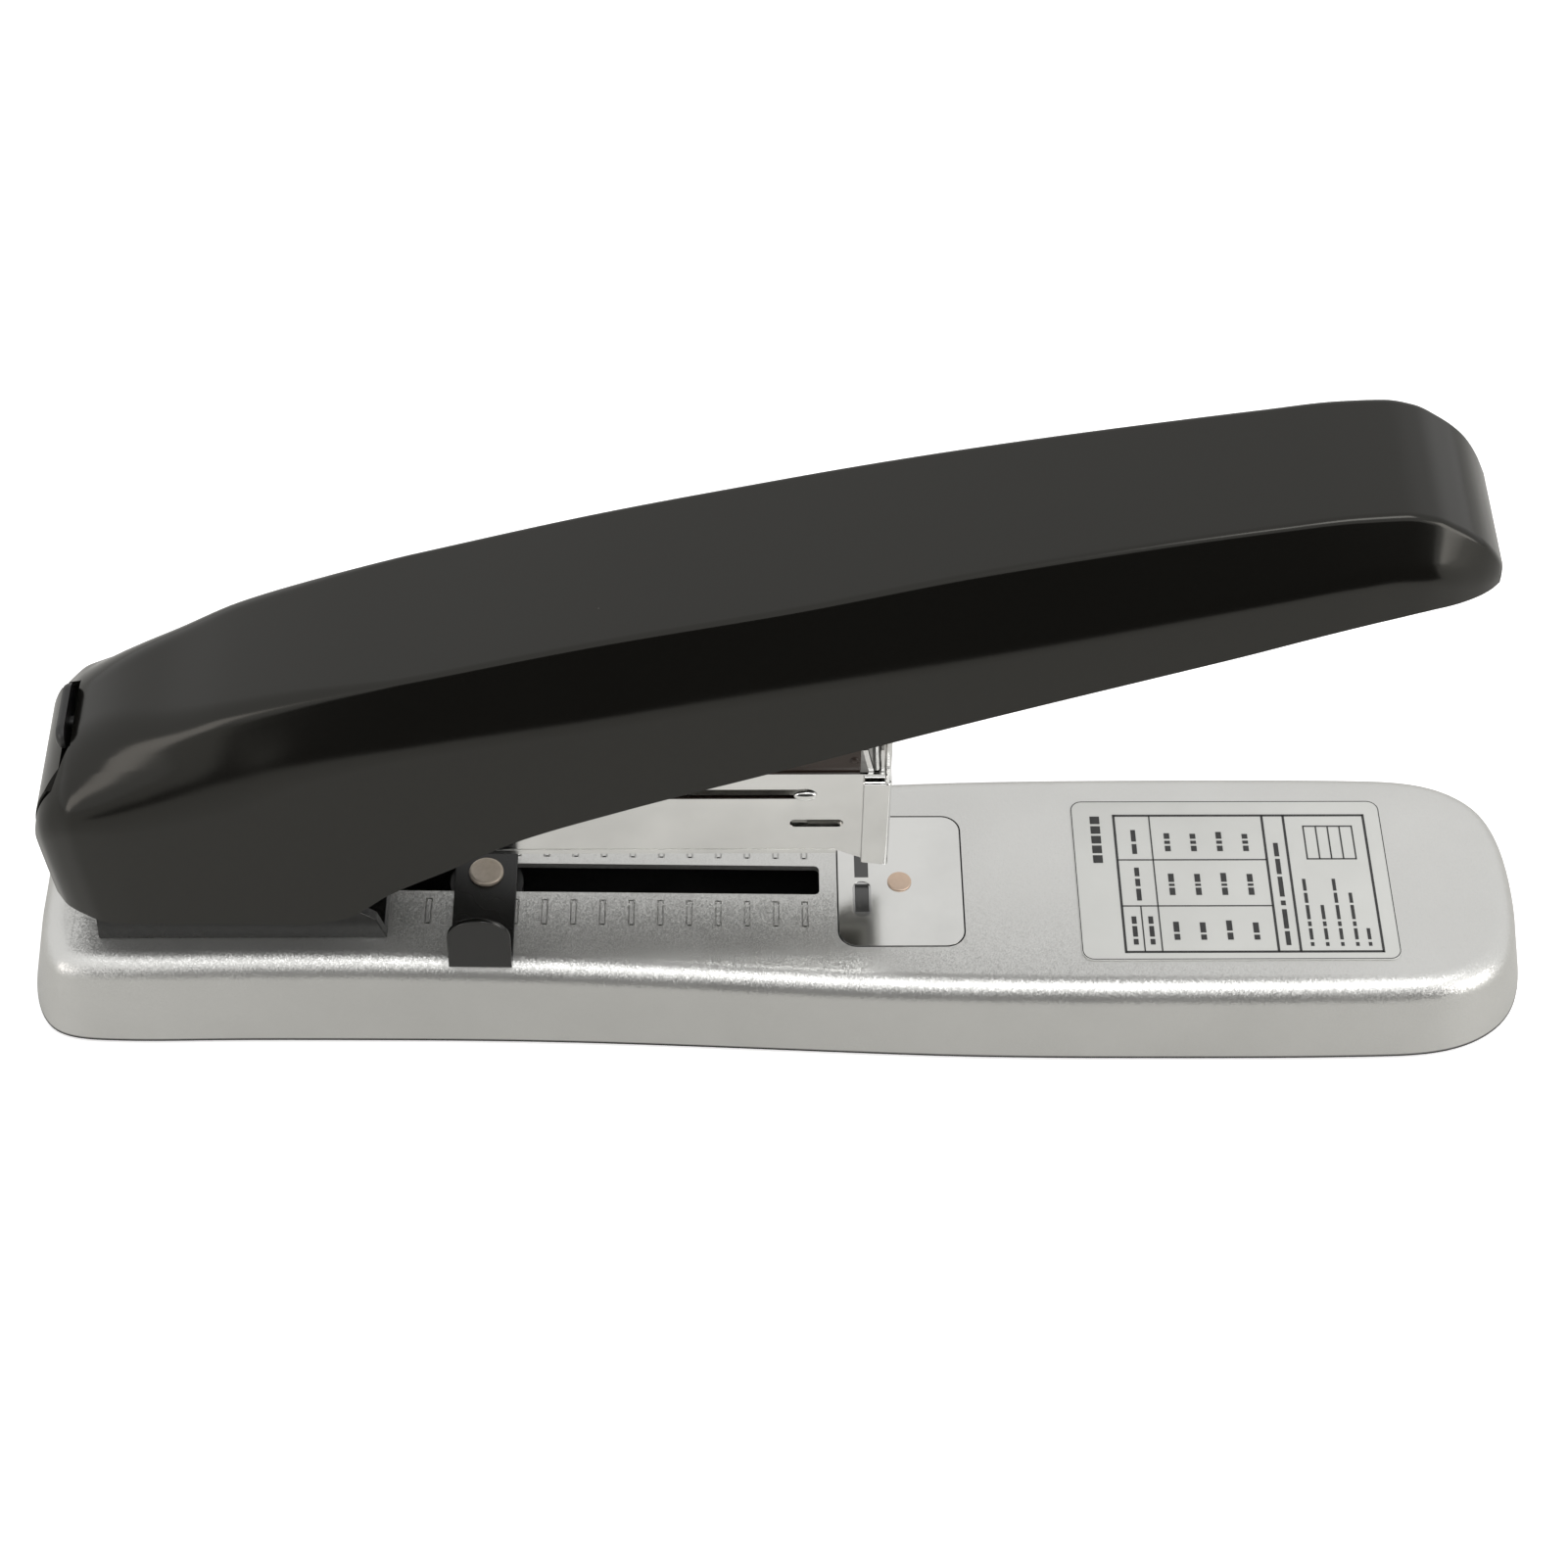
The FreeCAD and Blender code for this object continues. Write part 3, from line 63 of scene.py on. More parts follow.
class Shader:
    """A small wrapper that adds and links the nodes of one material."""

    def __init__(self, name):
        self.material = bpy.data.materials.new(name)
        self.material.use_nodes = True
        self.tree = self.material.node_tree
        self.principled = self.tree.nodes["Principled BSDF"]
        self.place = self.add("ShaderNodeTexCoord").outputs["Object"]

    def add(self, kind, inputs=None, **settings):
        node = self.tree.nodes.new(kind)
        for key, value in settings.items():
            setattr(node, key, value)
        for key, value in (inputs or {}).items():
            self.put(node.inputs[key], value)
        return node

    def put(self, socket, value):
        if isinstance(value, bpy.types.NodeSocket):
            self.tree.links.new(value, socket)
        else:
            socket.default_value = value

    def set(self, **values):
        for key, value in values.items():
            self.put(self.principled.inputs[key.replace("_", " ")], value)

    def noise(self, scale, detail=3.0, roughness=0.55, stretch=None):
        place = self.place
        if stretch:
            place = self.add("ShaderNodeMapping", {"Vector": place, "Scale": stretch}).outputs[0]
        return self.add("ShaderNodeTexNoise", {"Vector": place, "Scale": scale, "Detail": detail,
                                               "Roughness": roughness}).outputs["Fac"]

    def ramp(self, value, low, high, to_low=0.0, to_high=1.0):
        """value, scaled so that low gives to_low and high gives to_high, and held beyond them."""
        return self.add("ShaderNodeMapRange", {0: value, 1: low, 2: high, 3: to_low,
                                               4: to_high}).outputs[0]

    def math(self, operation, *values):
        node = self.add("ShaderNodeMath", operation=operation)
        for socket, value in zip(node.inputs, values):
            self.put(socket, value)
        return node.outputs[0]

    def mix(self, share, first, second):
        node = self.add("ShaderNodeMix", data_type="RGBA")
        self.put(node.inputs["Factor"], share)
        self.put(node.inputs[6], first)
        self.put(node.inputs[7], second)
        return node.outputs[2]

    def height(self):
        """Height above the desk, in metres, on pieces drawn in the shared frame."""
        return self.add("ShaderNodeSeparateXYZ", {0: self.place}).outputs["Z"]

    def bump(self, height, distance, strength=1.0):
        return self.add("ShaderNodeBump", {"Height": height, "Distance": distance,
                                           "Strength": strength}).outputs[0]


def colour(red, green=None, blue=None):
    green = red if green is None else green
    blue = red if blue is None else blue
    return (red, green, blue, 1.0)


# ---------------------------------------------------------------- materials


def make_silver_paint():
    """Metallic silver paint: flakes that each lean their own way under a thin clear coat."""
    shader = Shader("silver_paint")
    flakes = shader.add("ShaderNodeTexVoronoi", {"Vector": shader.place, "Scale": 5200.0})
    centred = shader.add("ShaderNodeVectorMath", {0: flakes.outputs["Color"], 1: (0.5, 0.5, 0.5)},
                         operation="SUBTRACT")
    lean = shader.add("ShaderNodeVectorMath", {0: centred.outputs[0], "Scale": 0.17},
                      operation="SCALE")
    peel = shader.bump(shader.noise(900.0, 2.0), 0.00002, 0.2)
    tilted = shader.add("ShaderNodeVectorMath", {0: peel, 1: lean.outputs[0]}, operation="ADD")
    normal = shader.add("ShaderNodeVectorMath", {0: tilted.outputs[0]}, operation="NORMALIZE")
    cloud = shader.noise(45.0, 3.0)
    tone = shader.mix(shader.ramp(cloud, 0.3, 0.7), colour(0.60, 0.60, 0.585),
                      colour(0.64, 0.64, 0.625))
    # Painted shadow where the base meets the floor: the paint turns near black below about 1.55 mm
    # above the desk.
    painted_contact_shadow = shader.ramp(shader.height(), 0.00125, 0.00155)
    tone = shader.mix(painted_contact_shadow, colour(0.06), tone)
    shader.set(Base_Color=tone, Metallic=0.9, Roughness=shader.ramp(cloud, 0.3, 0.7, 0.34, 0.38),
               Normal=normal.outputs[0], Coat_Weight=0.15, Coat_Roughness=0.25)
    return shader.material


def make_gloss_black():
    """Moulded gloss black with a slight orange peel, faint smears and a few dust specks."""
    shader = Shader("gloss_black")
    peel = shader.bump(shader.noise(350.0, 2.0), 0.00002, 0.25)
    smear = shader.noise(22.0, 4.0, 0.6, (1.0, 2.5, 1.6))
    dust_cells = shader.add("ShaderNodeTexVoronoi", {"Vector": shader.place, "Scale": 120.0})
    dust = shader.ramp(dust_cells.outputs["Distance"], 0.018, 0.03, 1.0, 0.0)
    rare = shader.ramp(shader.noise(60.0, 1.0), 0.60, 0.66)
    speck = shader.math("MULTIPLY", dust, rare)
    tone = shader.mix(speck, colour(0.0042, 0.0040, 0.0034), colour(0.10, 0.095, 0.085))
    rough = shader.ramp(smear, 0.35, 0.75, 0.15, 0.20)
    shader.set(Base_Color=tone, Roughness=rough, Normal=peel, IOR=1.44,
               Specular_Tint=colour(1.0, 0.985, 0.92))
    return shader.material


def make_plastic(name, base, roughness, grain):
    """Grey to black plastic or rubber with a fine moulded grain and slightly uneven tone."""
    shader = Shader(name)
    height = shader.noise(2600.0, 2.0)
    cloud = shader.noise(60.0, 3.0)
    tone = shader.mix(shader.ramp(cloud, 0.3, 0.7), colour(base * 0.85), colour(base * 1.2))
    shader.set(Base_Color=tone, Roughness=shader.ramp(cloud, 0.3, 0.7, roughness - 0.05,
                                                      roughness + 0.06),
               Normal=shader.bump(height, 0.00004, grain))
    return shader.material


def make_metal(name, base, roughness, stretch=(1.0, 1.0, 1.0), streaks=0.15, tarnish=None):
    """Plated or drawn metal: fine streaks along one direction and uneven polish."""
    shader = Shader(name)
    lines = shader.noise(1600.0, 4.0, 0.6, stretch)
    cloud = shader.noise(55.0, 4.0)
    dull = tarnish or tuple(0.86 * part for part in base)
    tone = shader.mix(shader.ramp(cloud, 0.35, 0.7), colour(*base), colour(*dull))
    rough = shader.math("ADD", shader.ramp(cloud, 0.3, 0.75, roughness, roughness * 1.5),
                        shader.ramp(lines, 0.3, 0.8, 0.0, roughness * 0.5))
    shader.set(Base_Color=tone, Metallic=1.0, Roughness=rough,
               Normal=shader.bump(lines, 0.00001, streaks))
    return shader.material


def make_anvil_plate():
    """Plated steel whose pressed pockets carry painted shade: near black inside and grey at their
    rims.
    """
    shader = Shader("anvil_plate")
    lines = shader.noise(1500.0, 4.0, 0.6, (0.2, 1.0, 1.0))
    cloud = shader.noise(60.0, 4.0)
    plate = shader.mix(shader.ramp(cloud, 0.35, 0.7), colour(0.68, 0.68, 0.665),
                       colour(0.62, 0.62, 0.605))
    # Painted shade: grey on the pockets' rims just below the plate's face, near black deeper inside
    # the pockets.
    rim = shader.mix(shader.ramp(shader.height(), 0.01586, 0.01597), colour(0.45), plate)
    tone = shader.mix(shader.ramp(shader.height(), 0.0153, 0.0157), colour(0.10), rim)
    shader.set(Base_Color=tone, Metallic=1.0, Roughness=shader.ramp(cloud, 0.3, 0.7, 0.12, 0.18),
               Normal=shader.bump(lines, 0.00001, 0.08))
    return shader.material


def make_painted_steel(name, base, roughness):
    """Sheet steel under a thin dark paint with a slight orange peel."""
    shader = Shader(name)
    peel = shader.noise(700.0, 3.0)
    cloud = shader.noise(50.0, 3.0)
    tone = shader.mix(shader.ramp(cloud, 0.3, 0.7), colour(*base),
                      colour(*(1.3 * part for part in base)))
    shader.set(Base_Color=tone, Roughness=shader.ramp(cloud, 0.3, 0.7, roughness,
                                                      roughness + 0.08),
               Normal=shader.bump(peel, 0.00002, 0.25))
    return shader.material


def make_label_foil():
    """Satin foil under a clear film."""
    shader = Shader("label")
    cloud = shader.noise(80.0, 3.0)
    tone = shader.mix(shader.ramp(cloud, 0.3, 0.7), colour(0.555, 0.56, 0.54),
                      colour(0.59, 0.595, 0.575))
    shader.set(Base_Color=tone, Metallic=0.25, Roughness=0.34, Coat_Weight=0.4,
               Coat_Roughness=0.12, Normal=shader.bump(shader.noise(1500.0, 2.0), 0.00001, 0.2))
    return shader.material


def make_print_ink():
    shader = Shader("print_ink")
    tone = shader.mix(shader.noise(900.0, 2.0), colour(0.010), colour(0.035))
    shader.set(Base_Color=tone, Roughness=0.45)
    return shader.material


def make_floor():
    """A pale floor that stays nearly white to the camera and greyer in reflections."""
    shader = Shader("floor")
    cloud = shader.noise(6.0, 3.0)
    seen = shader.add("ShaderNodeLightPath").outputs["Is Camera Ray"]
    pale = shader.mix(shader.ramp(cloud, 0.3, 0.7), colour(0.94), colour(0.96))
    tone = shader.mix(seen, colour(0.575, 0.57, 0.55), pale)
    shader.set(Base_Color=tone, Roughness=0.6, Specular_IOR_Level=0.2,
               Emission_Color=colour(1.0), Emission_Strength=shader.math("MULTIPLY", seen, 0.45))
    return shader.material


MATERIALS = {
    "silver_paint": make_silver_paint(),
    "gloss_black": make_gloss_black(),
    "black_plastic": make_plastic("black_plastic", 0.012, 0.45, 0.5),
    "button_plastic": make_plastic("button_plastic", 0.010, 0.30, 0.3),
    "rubber": make_plastic("rubber", 0.030, 0.75, 0.8),
    "chrome": make_metal("chrome", (0.93, 0.93, 0.915), 0.09, (0.15, 1.0, 1.0), 0.05),
    "steel": make_metal("steel", (0.66, 0.65, 0.62), 0.24, (0.2, 1.0, 1.0), 0.25),
    "spring_steel": make_metal("spring_steel", (0.48, 0.48, 0.50), 0.22),
    "dark_steel": make_painted_steel("dark_steel", (0.020, 0.012, 0.008), 0.28),
    "black_steel": make_painted_steel("black_steel", (0.004, 0.004, 0.0035), 0.22),
    "copper_rivet": make_metal("copper_rivet", (0.68, 0.52, 0.40), 0.36,
                               tarnish=(0.55, 0.45, 0.38)),
    "label": make_label_foil(),
    "anvil_plate": make_anvil_plate(),
    "worn_rivet": make_metal("worn_rivet", (0.60, 0.55, 0.49), 0.42, streaks=0.6,
                             tarnish=(0.48, 0.42, 0.35)),
}
INK = make_print_ink()

SLOT_OF = {part["node"]: part["material_slot"] for part in frame["record"]["subparts"]}
# Nodes whose look is more particular than the finish of their slot.
OWN_LOOK = {"guide_rivet": "worn_rivet", "anvil_plate": "anvil_plate"}


def dress(thing, slot_name):
    thing.data.materials.clear()
    thing.data.materials.append(MATERIALS[slot_name])


# ---------------------------------------------------------------- mesh helpers


def make_mesh(name, points, faces, slot_name, body, smooth=True):
    """A mesh from points in millimetres in the row frame."""
    data = bpy.data.meshes.new(name)
    data.from_pydata([tuple(MM * part for part in point) for point in points], [], faces)
    data.validate()
    data.update()
    thing = bpy.data.objects.new(name, data)
    bpy.context.scene.collection.objects.link(thing)
    for face in data.polygons:
        face.use_smooth = smooth
    dress(thing, slot_name)
    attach(thing, body)
    return thing


def strip_faces(rows, columns, closed=False, first=0):
    """Quads of a grid whose points are stored row by row."""
    faces = []
    for row in range(rows - 1):
        for column in range(columns if closed else columns - 1):
            following = (column + 1) % columns
            a = first + row * columns + column
            b = first + row * columns + following
            faces.append((a, b, b + columns, a + columns))
    return faces


def soften(thing, width, segments=3, angle=32.0):
    """Rounded edges and smooth shading by modifiers, which leave the mesh itself unchanged."""
    weld = thing.modifiers.new("weld", "WELD")
    weld.merge_threshold = 0.000004
    flat = thing.modifiers.new("flat", "DECIMATE")
    flat.decimate_type = "DISSOLVE"
    flat.angle_limit = math.radians(0.6)
    edge = thing.modifiers.new("edge", "BEVEL")
    edge.width = MM * width
    edge.segments = segments
    edge.limit_method = "ANGLE"
    edge.angle_limit = math.radians(angle)
    edge.harden_normals = False
    shade = thing.modifiers.new("shade", "WEIGHTED_NORMAL")
    shade.keep_sharp = True


def smooth_between(stations, places):
    """Monotone cubic curves through the stations' columns, taken at the given places."""
    table = np.array(stations, float)
    x = table[:, 0]
    result = []
    for column in range(1, table.shape[1]):
        y = table[:, column]
        step = np.diff(x)
        slope = np.diff(y) / step
        tangent = np.zeros_like(y)
        tangent[0] = slope[0]
        tangent[-1] = slope[-1]
        for i in range(1, len(x) - 1):
            if slope[i - 1] * slope[i] > 0:
                w1 = 2 * step[i] + step[i - 1]
                w2 = step[i] + 2 * step[i - 1]
                tangent[i] = (w1 + w2) / (w1 / slope[i - 1] + w2 / slope[i])
        at = np.clip(np.searchsorted(x, places) - 1, 0, len(step) - 1)
        t = (places - x[at]) / step[at]
        result.append((2 * t ** 3 - 3 * t ** 2 + 1) * y[at]
                      + (t ** 3 - 2 * t ** 2 + t) * step[at] * tangent[at]
                      + (3 * t ** 2 - 2 * t ** 3) * y[at + 1]
                      + (t ** 3 - t ** 2) * step[at] * tangent[at + 1])
    return result


def rounded_corner(before, corner, after, radius, count):
    """Points of a soft corner between two straight runs, in the plane of a section."""
    before, corner, after = (np.array(point, float) for point in (before, corner, after))
    back = before - corner
    ahead = after - corner
    back_length = np.linalg.norm(back)
    ahead_length = np.linalg.norm(ahead)
    reach = min(radius, 0.48 * back_length, 0.48 * ahead_length)
    start = corner + back / back_length * reach
    end = corner + ahead / ahead_length * reach
    points = []
    for t in np.linspace(0.0, 1.0, count):
        points.append((1 - t) ** 2 * start + 2 * t * (1 - t) * corner + t ** 2 * end)
    return points


def face_outwards(thing):
    """Turns all faces the same way, those of an open shell with its upper side outwards.

    Upward and downward faces of a closed mesh balance, so only an open shell is turned over.
    """
    work = bmesh.new()
    work.from_mesh(thing.data)
    bmesh.ops.recalc_face_normals(work, faces=work.faces)
    work.normal_update()
    lean = sum(face.normal.z * face.calc_area() for face in work.faces)
    clear_share = 0.01
    if lean < -clear_share * sum(face.calc_area() for face in work.faces):
        bmesh.ops.reverse_faces(work, faces=work.faces)
    work.to_mesh(thing.data)
    work.free()


def thicken(thing, thickness):
    """Gives an open shell a wall that grows inwards."""
    wall = thing.modifiers.new("wall", "SOLIDIFY")
    wall.thickness = MM * thickness
    wall.offset = -1.0
    wall.use_even_offset = False


def make_cutter(name, points, faces):
    """A closed mesh in millimetres that only serves to cut another one."""
    data = bpy.data.meshes.new(name)
    data.from_pydata([tuple(MM * part for part in point) for point in points], [], faces)
    thing = bpy.data.objects.new(name, data)
    bpy.context.scene.collection.objects.link(thing)
    face_outwards(thing)
    return thing


def prism(name, outline, start, end):
    """A cutter whose Y, Z outline, about the hinge axis's height, runs along X."""
    points = [(x, y, HINGE_Z + z) for x in (start, end) for y, z in outline]
    count = len(outline)
    faces = strip_faces(2, count, closed=True)
    faces.append(tuple(range(count - 1, -1, -1)))
    faces.append(tuple(range(count, 2 * count)))
    return make_cutter(name, points, faces)


def cut_with(thing, cutters):
    """Cuts the meshes of cutters out of thing and keeps the result as its mesh."""
    for cutter in cutters:
        step = thing.modifiers.new("cut", "BOOLEAN")
        step.operation = "DIFFERENCE"
        step.solver = "EXACT"
        step.object = cutter
    bpy.context.view_layer.update()
    graph = bpy.context.evaluated_depsgraph_get()
    result = bpy.data.meshes.new_from_object(thing.evaluated_get(graph))
    thing.modifiers.clear()
    thing.data = result
    for cutter in cutters:
        bpy.data.objects.remove(cutter)


def crisp_edges(thing, angle):
    """Smooth shading that breaks at folds sharper than angle, in degrees."""
    thing.data.set_sharp_from_angle(angle=math.radians(angle))
    shade = thing.modifiers.new("shade", "WEIGHTED_NORMAL")
    shade.keep_sharp = True


def rounded_outline(left, right, near, far, corner, steps=6):
    """An X, Y rectangle with round corners."""
    ring = []
    for x, y, turn in ((right - corner, far - corner, 0), (left + corner, far - corner, 90),
                       (left + corner, near + corner, 180), (right - corner, near + corner, 270)):
        for step in range(steps + 1):
            angle = math.radians(turn + 90.0 * step / steps)
            ring.append((x + corner * math.cos(angle), y + corner * math.sin(angle)))
    return ring


def upright_cutter(name, outlines, low, high):
    """A cutter made of upright prisms, one for each X, Y outline, between two heights."""
    points = []
    faces = []
    for outline in outlines:
        first = len(points)
        count = len(outline)
        points += [(x, y, z) for z in (low, high) for x, y in outline]
        faces += strip_faces(2, count, closed=True, first=first)
        faces.append(tuple(range(first + count - 1, first - 1, -1)))
        faces.append(tuple(range(first + count, first + 2 * count)))
    return make_cutter(name, points, faces)


def frame_cutter(name, frames, line):
    """A cutter of upright picture frames, each a box with a smaller box left standing in it."""
    points = []
    faces = []
    for left, right, near, far, low, high in frames:
        first = len(points)
        for level in (low, high):
            for inset in (0.0, line):
                points += [(left + inset, near + inset, level), (right - inset, near + inset, level),
                           (right - inset, far - inset, level), (left + inset, far - inset, level)]
        for side in range(4):
            following = (side + 1) % 4
            a, b, c, d = side, following, 4 + following, 4 + side
            for quad in ((a, d, c, b), (8 + a, 8 + b, 8 + c, 8 + d), (a, b, 8 + b, 8 + a),
                         (c, d, 8 + d, 8 + c)):
                faces.append(tuple(first + corner for corner in quad))
    return make_cutter(name, points, faces)


def periodic_curve(points, per_span):
    """A closed smooth cubic curve through points, spaced by chord length."""
    table = np.array(points, float)
    count = len(table)
    step = np.linalg.norm(np.roll(table, -1, axis=0) - table, axis=1)
    before = np.roll(step, 1)
    system = np.zeros((count, count))
    rise = (np.roll(table, -1, axis=0) - table) / step[:, None]
    for i in range(count):
        system[i, i - 1] += step[i]
        system[i, i] += 2 * (before[i] + step[i])
        system[i, (i + 1) % count] += before[i]
    target = 3 * (rise * before[:, None] + np.roll(rise, 1, axis=0) * step[:, None])
    tangent = np.linalg.solve(system, target)
    result = []
    for i in range(count):
        j = (i + 1) % count
        for t in np.arange(per_span) / per_span:
            result.append((2 * t ** 3 - 3 * t ** 2 + 1) * table[i]
                          + (t ** 3 - 2 * t ** 2 + t) * step[i] * tangent[i]
                          + (3 * t ** 2 - 2 * t ** 3) * table[j]
                          + (t ** 3 - t ** 2) * step[i] * tangent[j])
    return np.array(result)


# ---------------------------------------------------------------- base

# The far half of the outline of the base at its rim, from the rear end to the front end.
BASE_SIDE = [
    (-131.0, 0.0), (-130.1, 13.4), (-126.3, 20.6), (-117.0, 23.0), (-98.0, 23.1), (-82.0, 23.1),
    (-68.0, 23.2), (-40.0, 23.7), (-12.0, 24.9), (9.0, 26.0), (31.0, 27.0), (65.0, 27.5),
    (103.0, 27.3), (119.7, 24.6), (126.9, 18.9), (130.4, 9.2), (131.0, 0.0),
]
SPAN_STEPS = 14
BASE_RIM = 1.0
BASE_TOP = 16.0
BASE_DRAFT = 0.22
BASE_SHEET = 1.2
EDGE_RADIUS = 4.5
WALL_ROWS = 9
EDGE_ROWS = 16
TOP_COLUMNS = 9
RAMP_FRONT = 9.0
RAMP_LENGTH = 80.0
RAMP_SLOPE = 0.02

# Openings of the top: left, right, near side, far side, corner radius.
GUIDE_SLOT = (-68.0, 6.6, -3.15, 3.15, 0.9)
ANVIL_RECESS = (9.65, 31.75, -14.55, 14.55, 3.4)
SLOT_BOTTOM = 8.0
RECESS_BOTTOM = 12.0
CUT_TOP = 24.0

# Ruler ticks on both sides of the guide slot, counted rearwards from the staple line.
STAPLE_LINE = 14.0
FIRST_TICK = 10.0
TICK_STEP = 5.0
TICK_COUNT = 14
TICK_HALF = 0.6
TICK_NEAR = 4.7
TICK_FAR = 10.3
TICK_DEPTH = 1.0
TICK_LINE = 0.3


def base_level(x):
    """Height of the base's top: level in front, a gentle ramp beside the slot, level behind."""
    return BASE_TOP + RAMP_SLOPE * np.clip(RAMP_FRONT - x, 0.0, RAMP_LENGTH)


def base_rows(ring):
    """Rows of points from the rim up the drafted wall and over the rounded edge."""
    along = np.roll(ring, -1, axis=0) - np.roll(ring, 1, axis=0)
    along /= np.linalg.norm(along, axis=1)[:, None]
    inward = np.column_stack([along[:, 1], -along[:, 0]])
    level = base_level(ring[:, 0])
    lean = math.atan(BASE_DRAFT)

    def moved(inset, heights):
        flat = ring + inward * np.reshape(inset, (-1, 1))
        return np.column_stack([flat, heights])

    rows = []
    start = level - EDGE_RADIUS + EDGE_RADIUS * math.sin(lean)
    for share in np.linspace(0.0, 1.0, WALL_ROWS + 1)[:-1]:
        height = BASE_RIM + (start - BASE_RIM) * share
        rows.append(moved(BASE_DRAFT * (height - BASE_RIM), height))
    centre = level - EDGE_RADIUS
    for angle in np.linspace(lean, math.pi / 2, EDGE_ROWS + 1):
        inset = (BASE_DRAFT * (centre - BASE_RIM) + EDGE_RADIUS / math.cos(lean)
                 - EDGE_RADIUS * math.cos(angle))
        rows.append(moved(inset, centre + EDGE_RADIUS * math.sin(angle)))
    return rows


def close_base_top(points, faces, last, columns):
    """Fills the top: lines across it along most of its length, and one face at each end."""
    half = (len(BASE_SIDE) - 1) * SPAN_STEPS
    end_steps = 2 * SPAN_STEPS
    grid = []
    for step in range(end_steps, half - end_steps + 1):
        far = last + step
        near = last + columns - step
        start = np.array(points[far])
        run = np.array(points[near]) - start
        line = [far]
        for share in range(1, TOP_COLUMNS):
            points.append(tuple(start + run * (share / TOP_COLUMNS)))
            line.append(len(points) - 1)
        line.append(near)
        grid.append(line)
    for line, following in zip(grid, grid[1:]):
        faces += zip(line, line[1:], following[1:], following)
    rear_arc = [last + columns - step for step in range(end_steps - 1, 0, -1)]
    rear_arc += [last + step for step in range(end_steps)]
    faces.append(tuple(rear_arc + grid[0]))
    front_arc = [last + half + step for step in range(1 - end_steps, end_steps)]
    faces.append(tuple(front_arc + grid[-1][::-1]))


def tick_frames():
    """One frame for each ruler tick: left, right, near side, far side, bottom and top."""
    frames = []
    for number in range(TICK_COUNT):
        middle = STAPLE_LINE - FIRST_TICK - TICK_STEP * number
        top = float(base_level(middle))
        for near, far in ((-TICK_FAR, -TICK_NEAR), (TICK_NEAR, TICK_FAR)):
            frames.append((middle - TICK_HALF, middle + TICK_HALF, near, far,
                           top - TICK_DEPTH, top + TICK_DEPTH))
    return frames


def make_base():
    """The pressed shell with drafted walls, a soft edge, slot, anvil recess and ruler ticks."""
    near_side = [(x, -y) for x, y in BASE_SIDE[-2:0:-1]]
    rows = base_rows(periodic_curve(BASE_SIDE + near_side, SPAN_STEPS))
    columns = len(rows[0])
    points = [tuple(point) for row in rows for point in row]
    faces = strip_faces(len(rows), columns, closed=True)
    close_base_top(points, faces, (len(rows) - 1) * columns, columns)

    base = make_mesh("base_skin", points, faces, "silver_paint", "base")
    face_outwards(base)
    thicken(base, BASE_SHEET)
    cut_with(base, [
        upright_cutter("slot", [rounded_outline(*GUIDE_SLOT)], SLOT_BOTTOM, CUT_TOP),
        upright_cutter("recess", [rounded_outline(*ANVIL_RECESS, steps=10)], RECESS_BOTTOM,
                       CUT_TOP),
    ])
    cut_with(base, [frame_cutter("ticks", tick_frames(), TICK_LINE)])
    crisp_edges(base, 30.0)
    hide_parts("base_shell")


# ---------------------------------------------------------------- handle cover

# Stations along X from the hinge pin: height of the flat top, its half width, height of the
# bevel's lower edge, half width of the walls.
COVER = [
    (-17.9, 3.0, 5.6, 0.6, 12.0),
    (-16.0, 8.4, 6.0, 5.0, 14.8),
    (-13.0, 13.0, 6.5, 8.4, 16.4),
    (-10.0, 16.4, 7.0, 10.4, 17.2),
    (-2.0, 21.8, 9.0, 11.6, 17.5),
    (7.0, 25.4, 11.2, 13.2, 17.5),
    (17.0, 29.8, 12.7, 15.8, 17.6),
    (29.0, 34.0, 13.2, 21.9, 17.9),
    (46.0, 38.9, 14.0, 27.0, 18.2),
    (77.0, 48.0, 14.4, 34.4, 18.5),
    (105.0, 55.1, 14.6, 41.6, 18.5),
    (136.0, 63.0, 13.8, 49.4, 18.3),
    (180.0, 71.9, 12.9, 61.4, 17.6),
    (191.0, 73.7, 12.8, 64.4, 17.4),
    (198.0, 74.1, 12.7, 65.5, 17.0),
    (202.5, 73.2, 12.6, 65.2, 16.6),
    (206.5, 71.0, 12.4, 64.0, 15.7),
    (210.8, 67.6, 12.0, 62.0, 14.0),
    (213.6, 63.8, 11.2, 60.4, 12.2),
    (215.0, 61.0, 10.2, 59.4, 10.8),
]
# Places along X from the hinge pin and heights of the walls' lower edge.
COVER_EDGE = [
    (-30.0, -15.2), (-15.0, -16.6), (-8.0, -18.2), (24.0, -18.2), (32.0, -16.6), (40.8, -9.4),
    (51.0, -2.9), (62.2, 4.5), (80.5, 12.8), (100.4, 20.6), (139.4, 35.5), (174.8, 48.0),
    (197.2, 55.9), (205.0, 57.6), (230.0, 58.0),
]
COVER_SHEET = 1.6

# The folds above and below the bevel are tight along the handle and softer at its rear.
SOFT_REAR = 45.0
LOWER_FOLD = (2.2, 4.0)
UPPER_FOLD = (0.9, 3.2)
FOLD_POINTS = 9
WALL_POINTS = 8
RUN_POINTS = 6

# The rear end of each wall tucks in under the bevel.
TUCK_START = 4.0
TUCK_LENGTH = 22.0
TUCK_DEPTH = 1.6
TUCK_HEIGHT = 19.0
TUCK_CURVE = 1.2

# Half of the opening in the rear end: distance from the middle plane, height from the hinge pin.
REAR_OPENING = [(11.9, -3.2), (11.9, 10.0), (7.2, 15.6), (7.2, 40.0)]
OPENING_START = -30.0
OPENING_END = -10.0


def straight_run(start, end, steps):
    """Points between start and end, without start itself."""
    return [start + (end - start) * t for t in np.linspace(0.0, 1.0, steps + 1)[1:]]


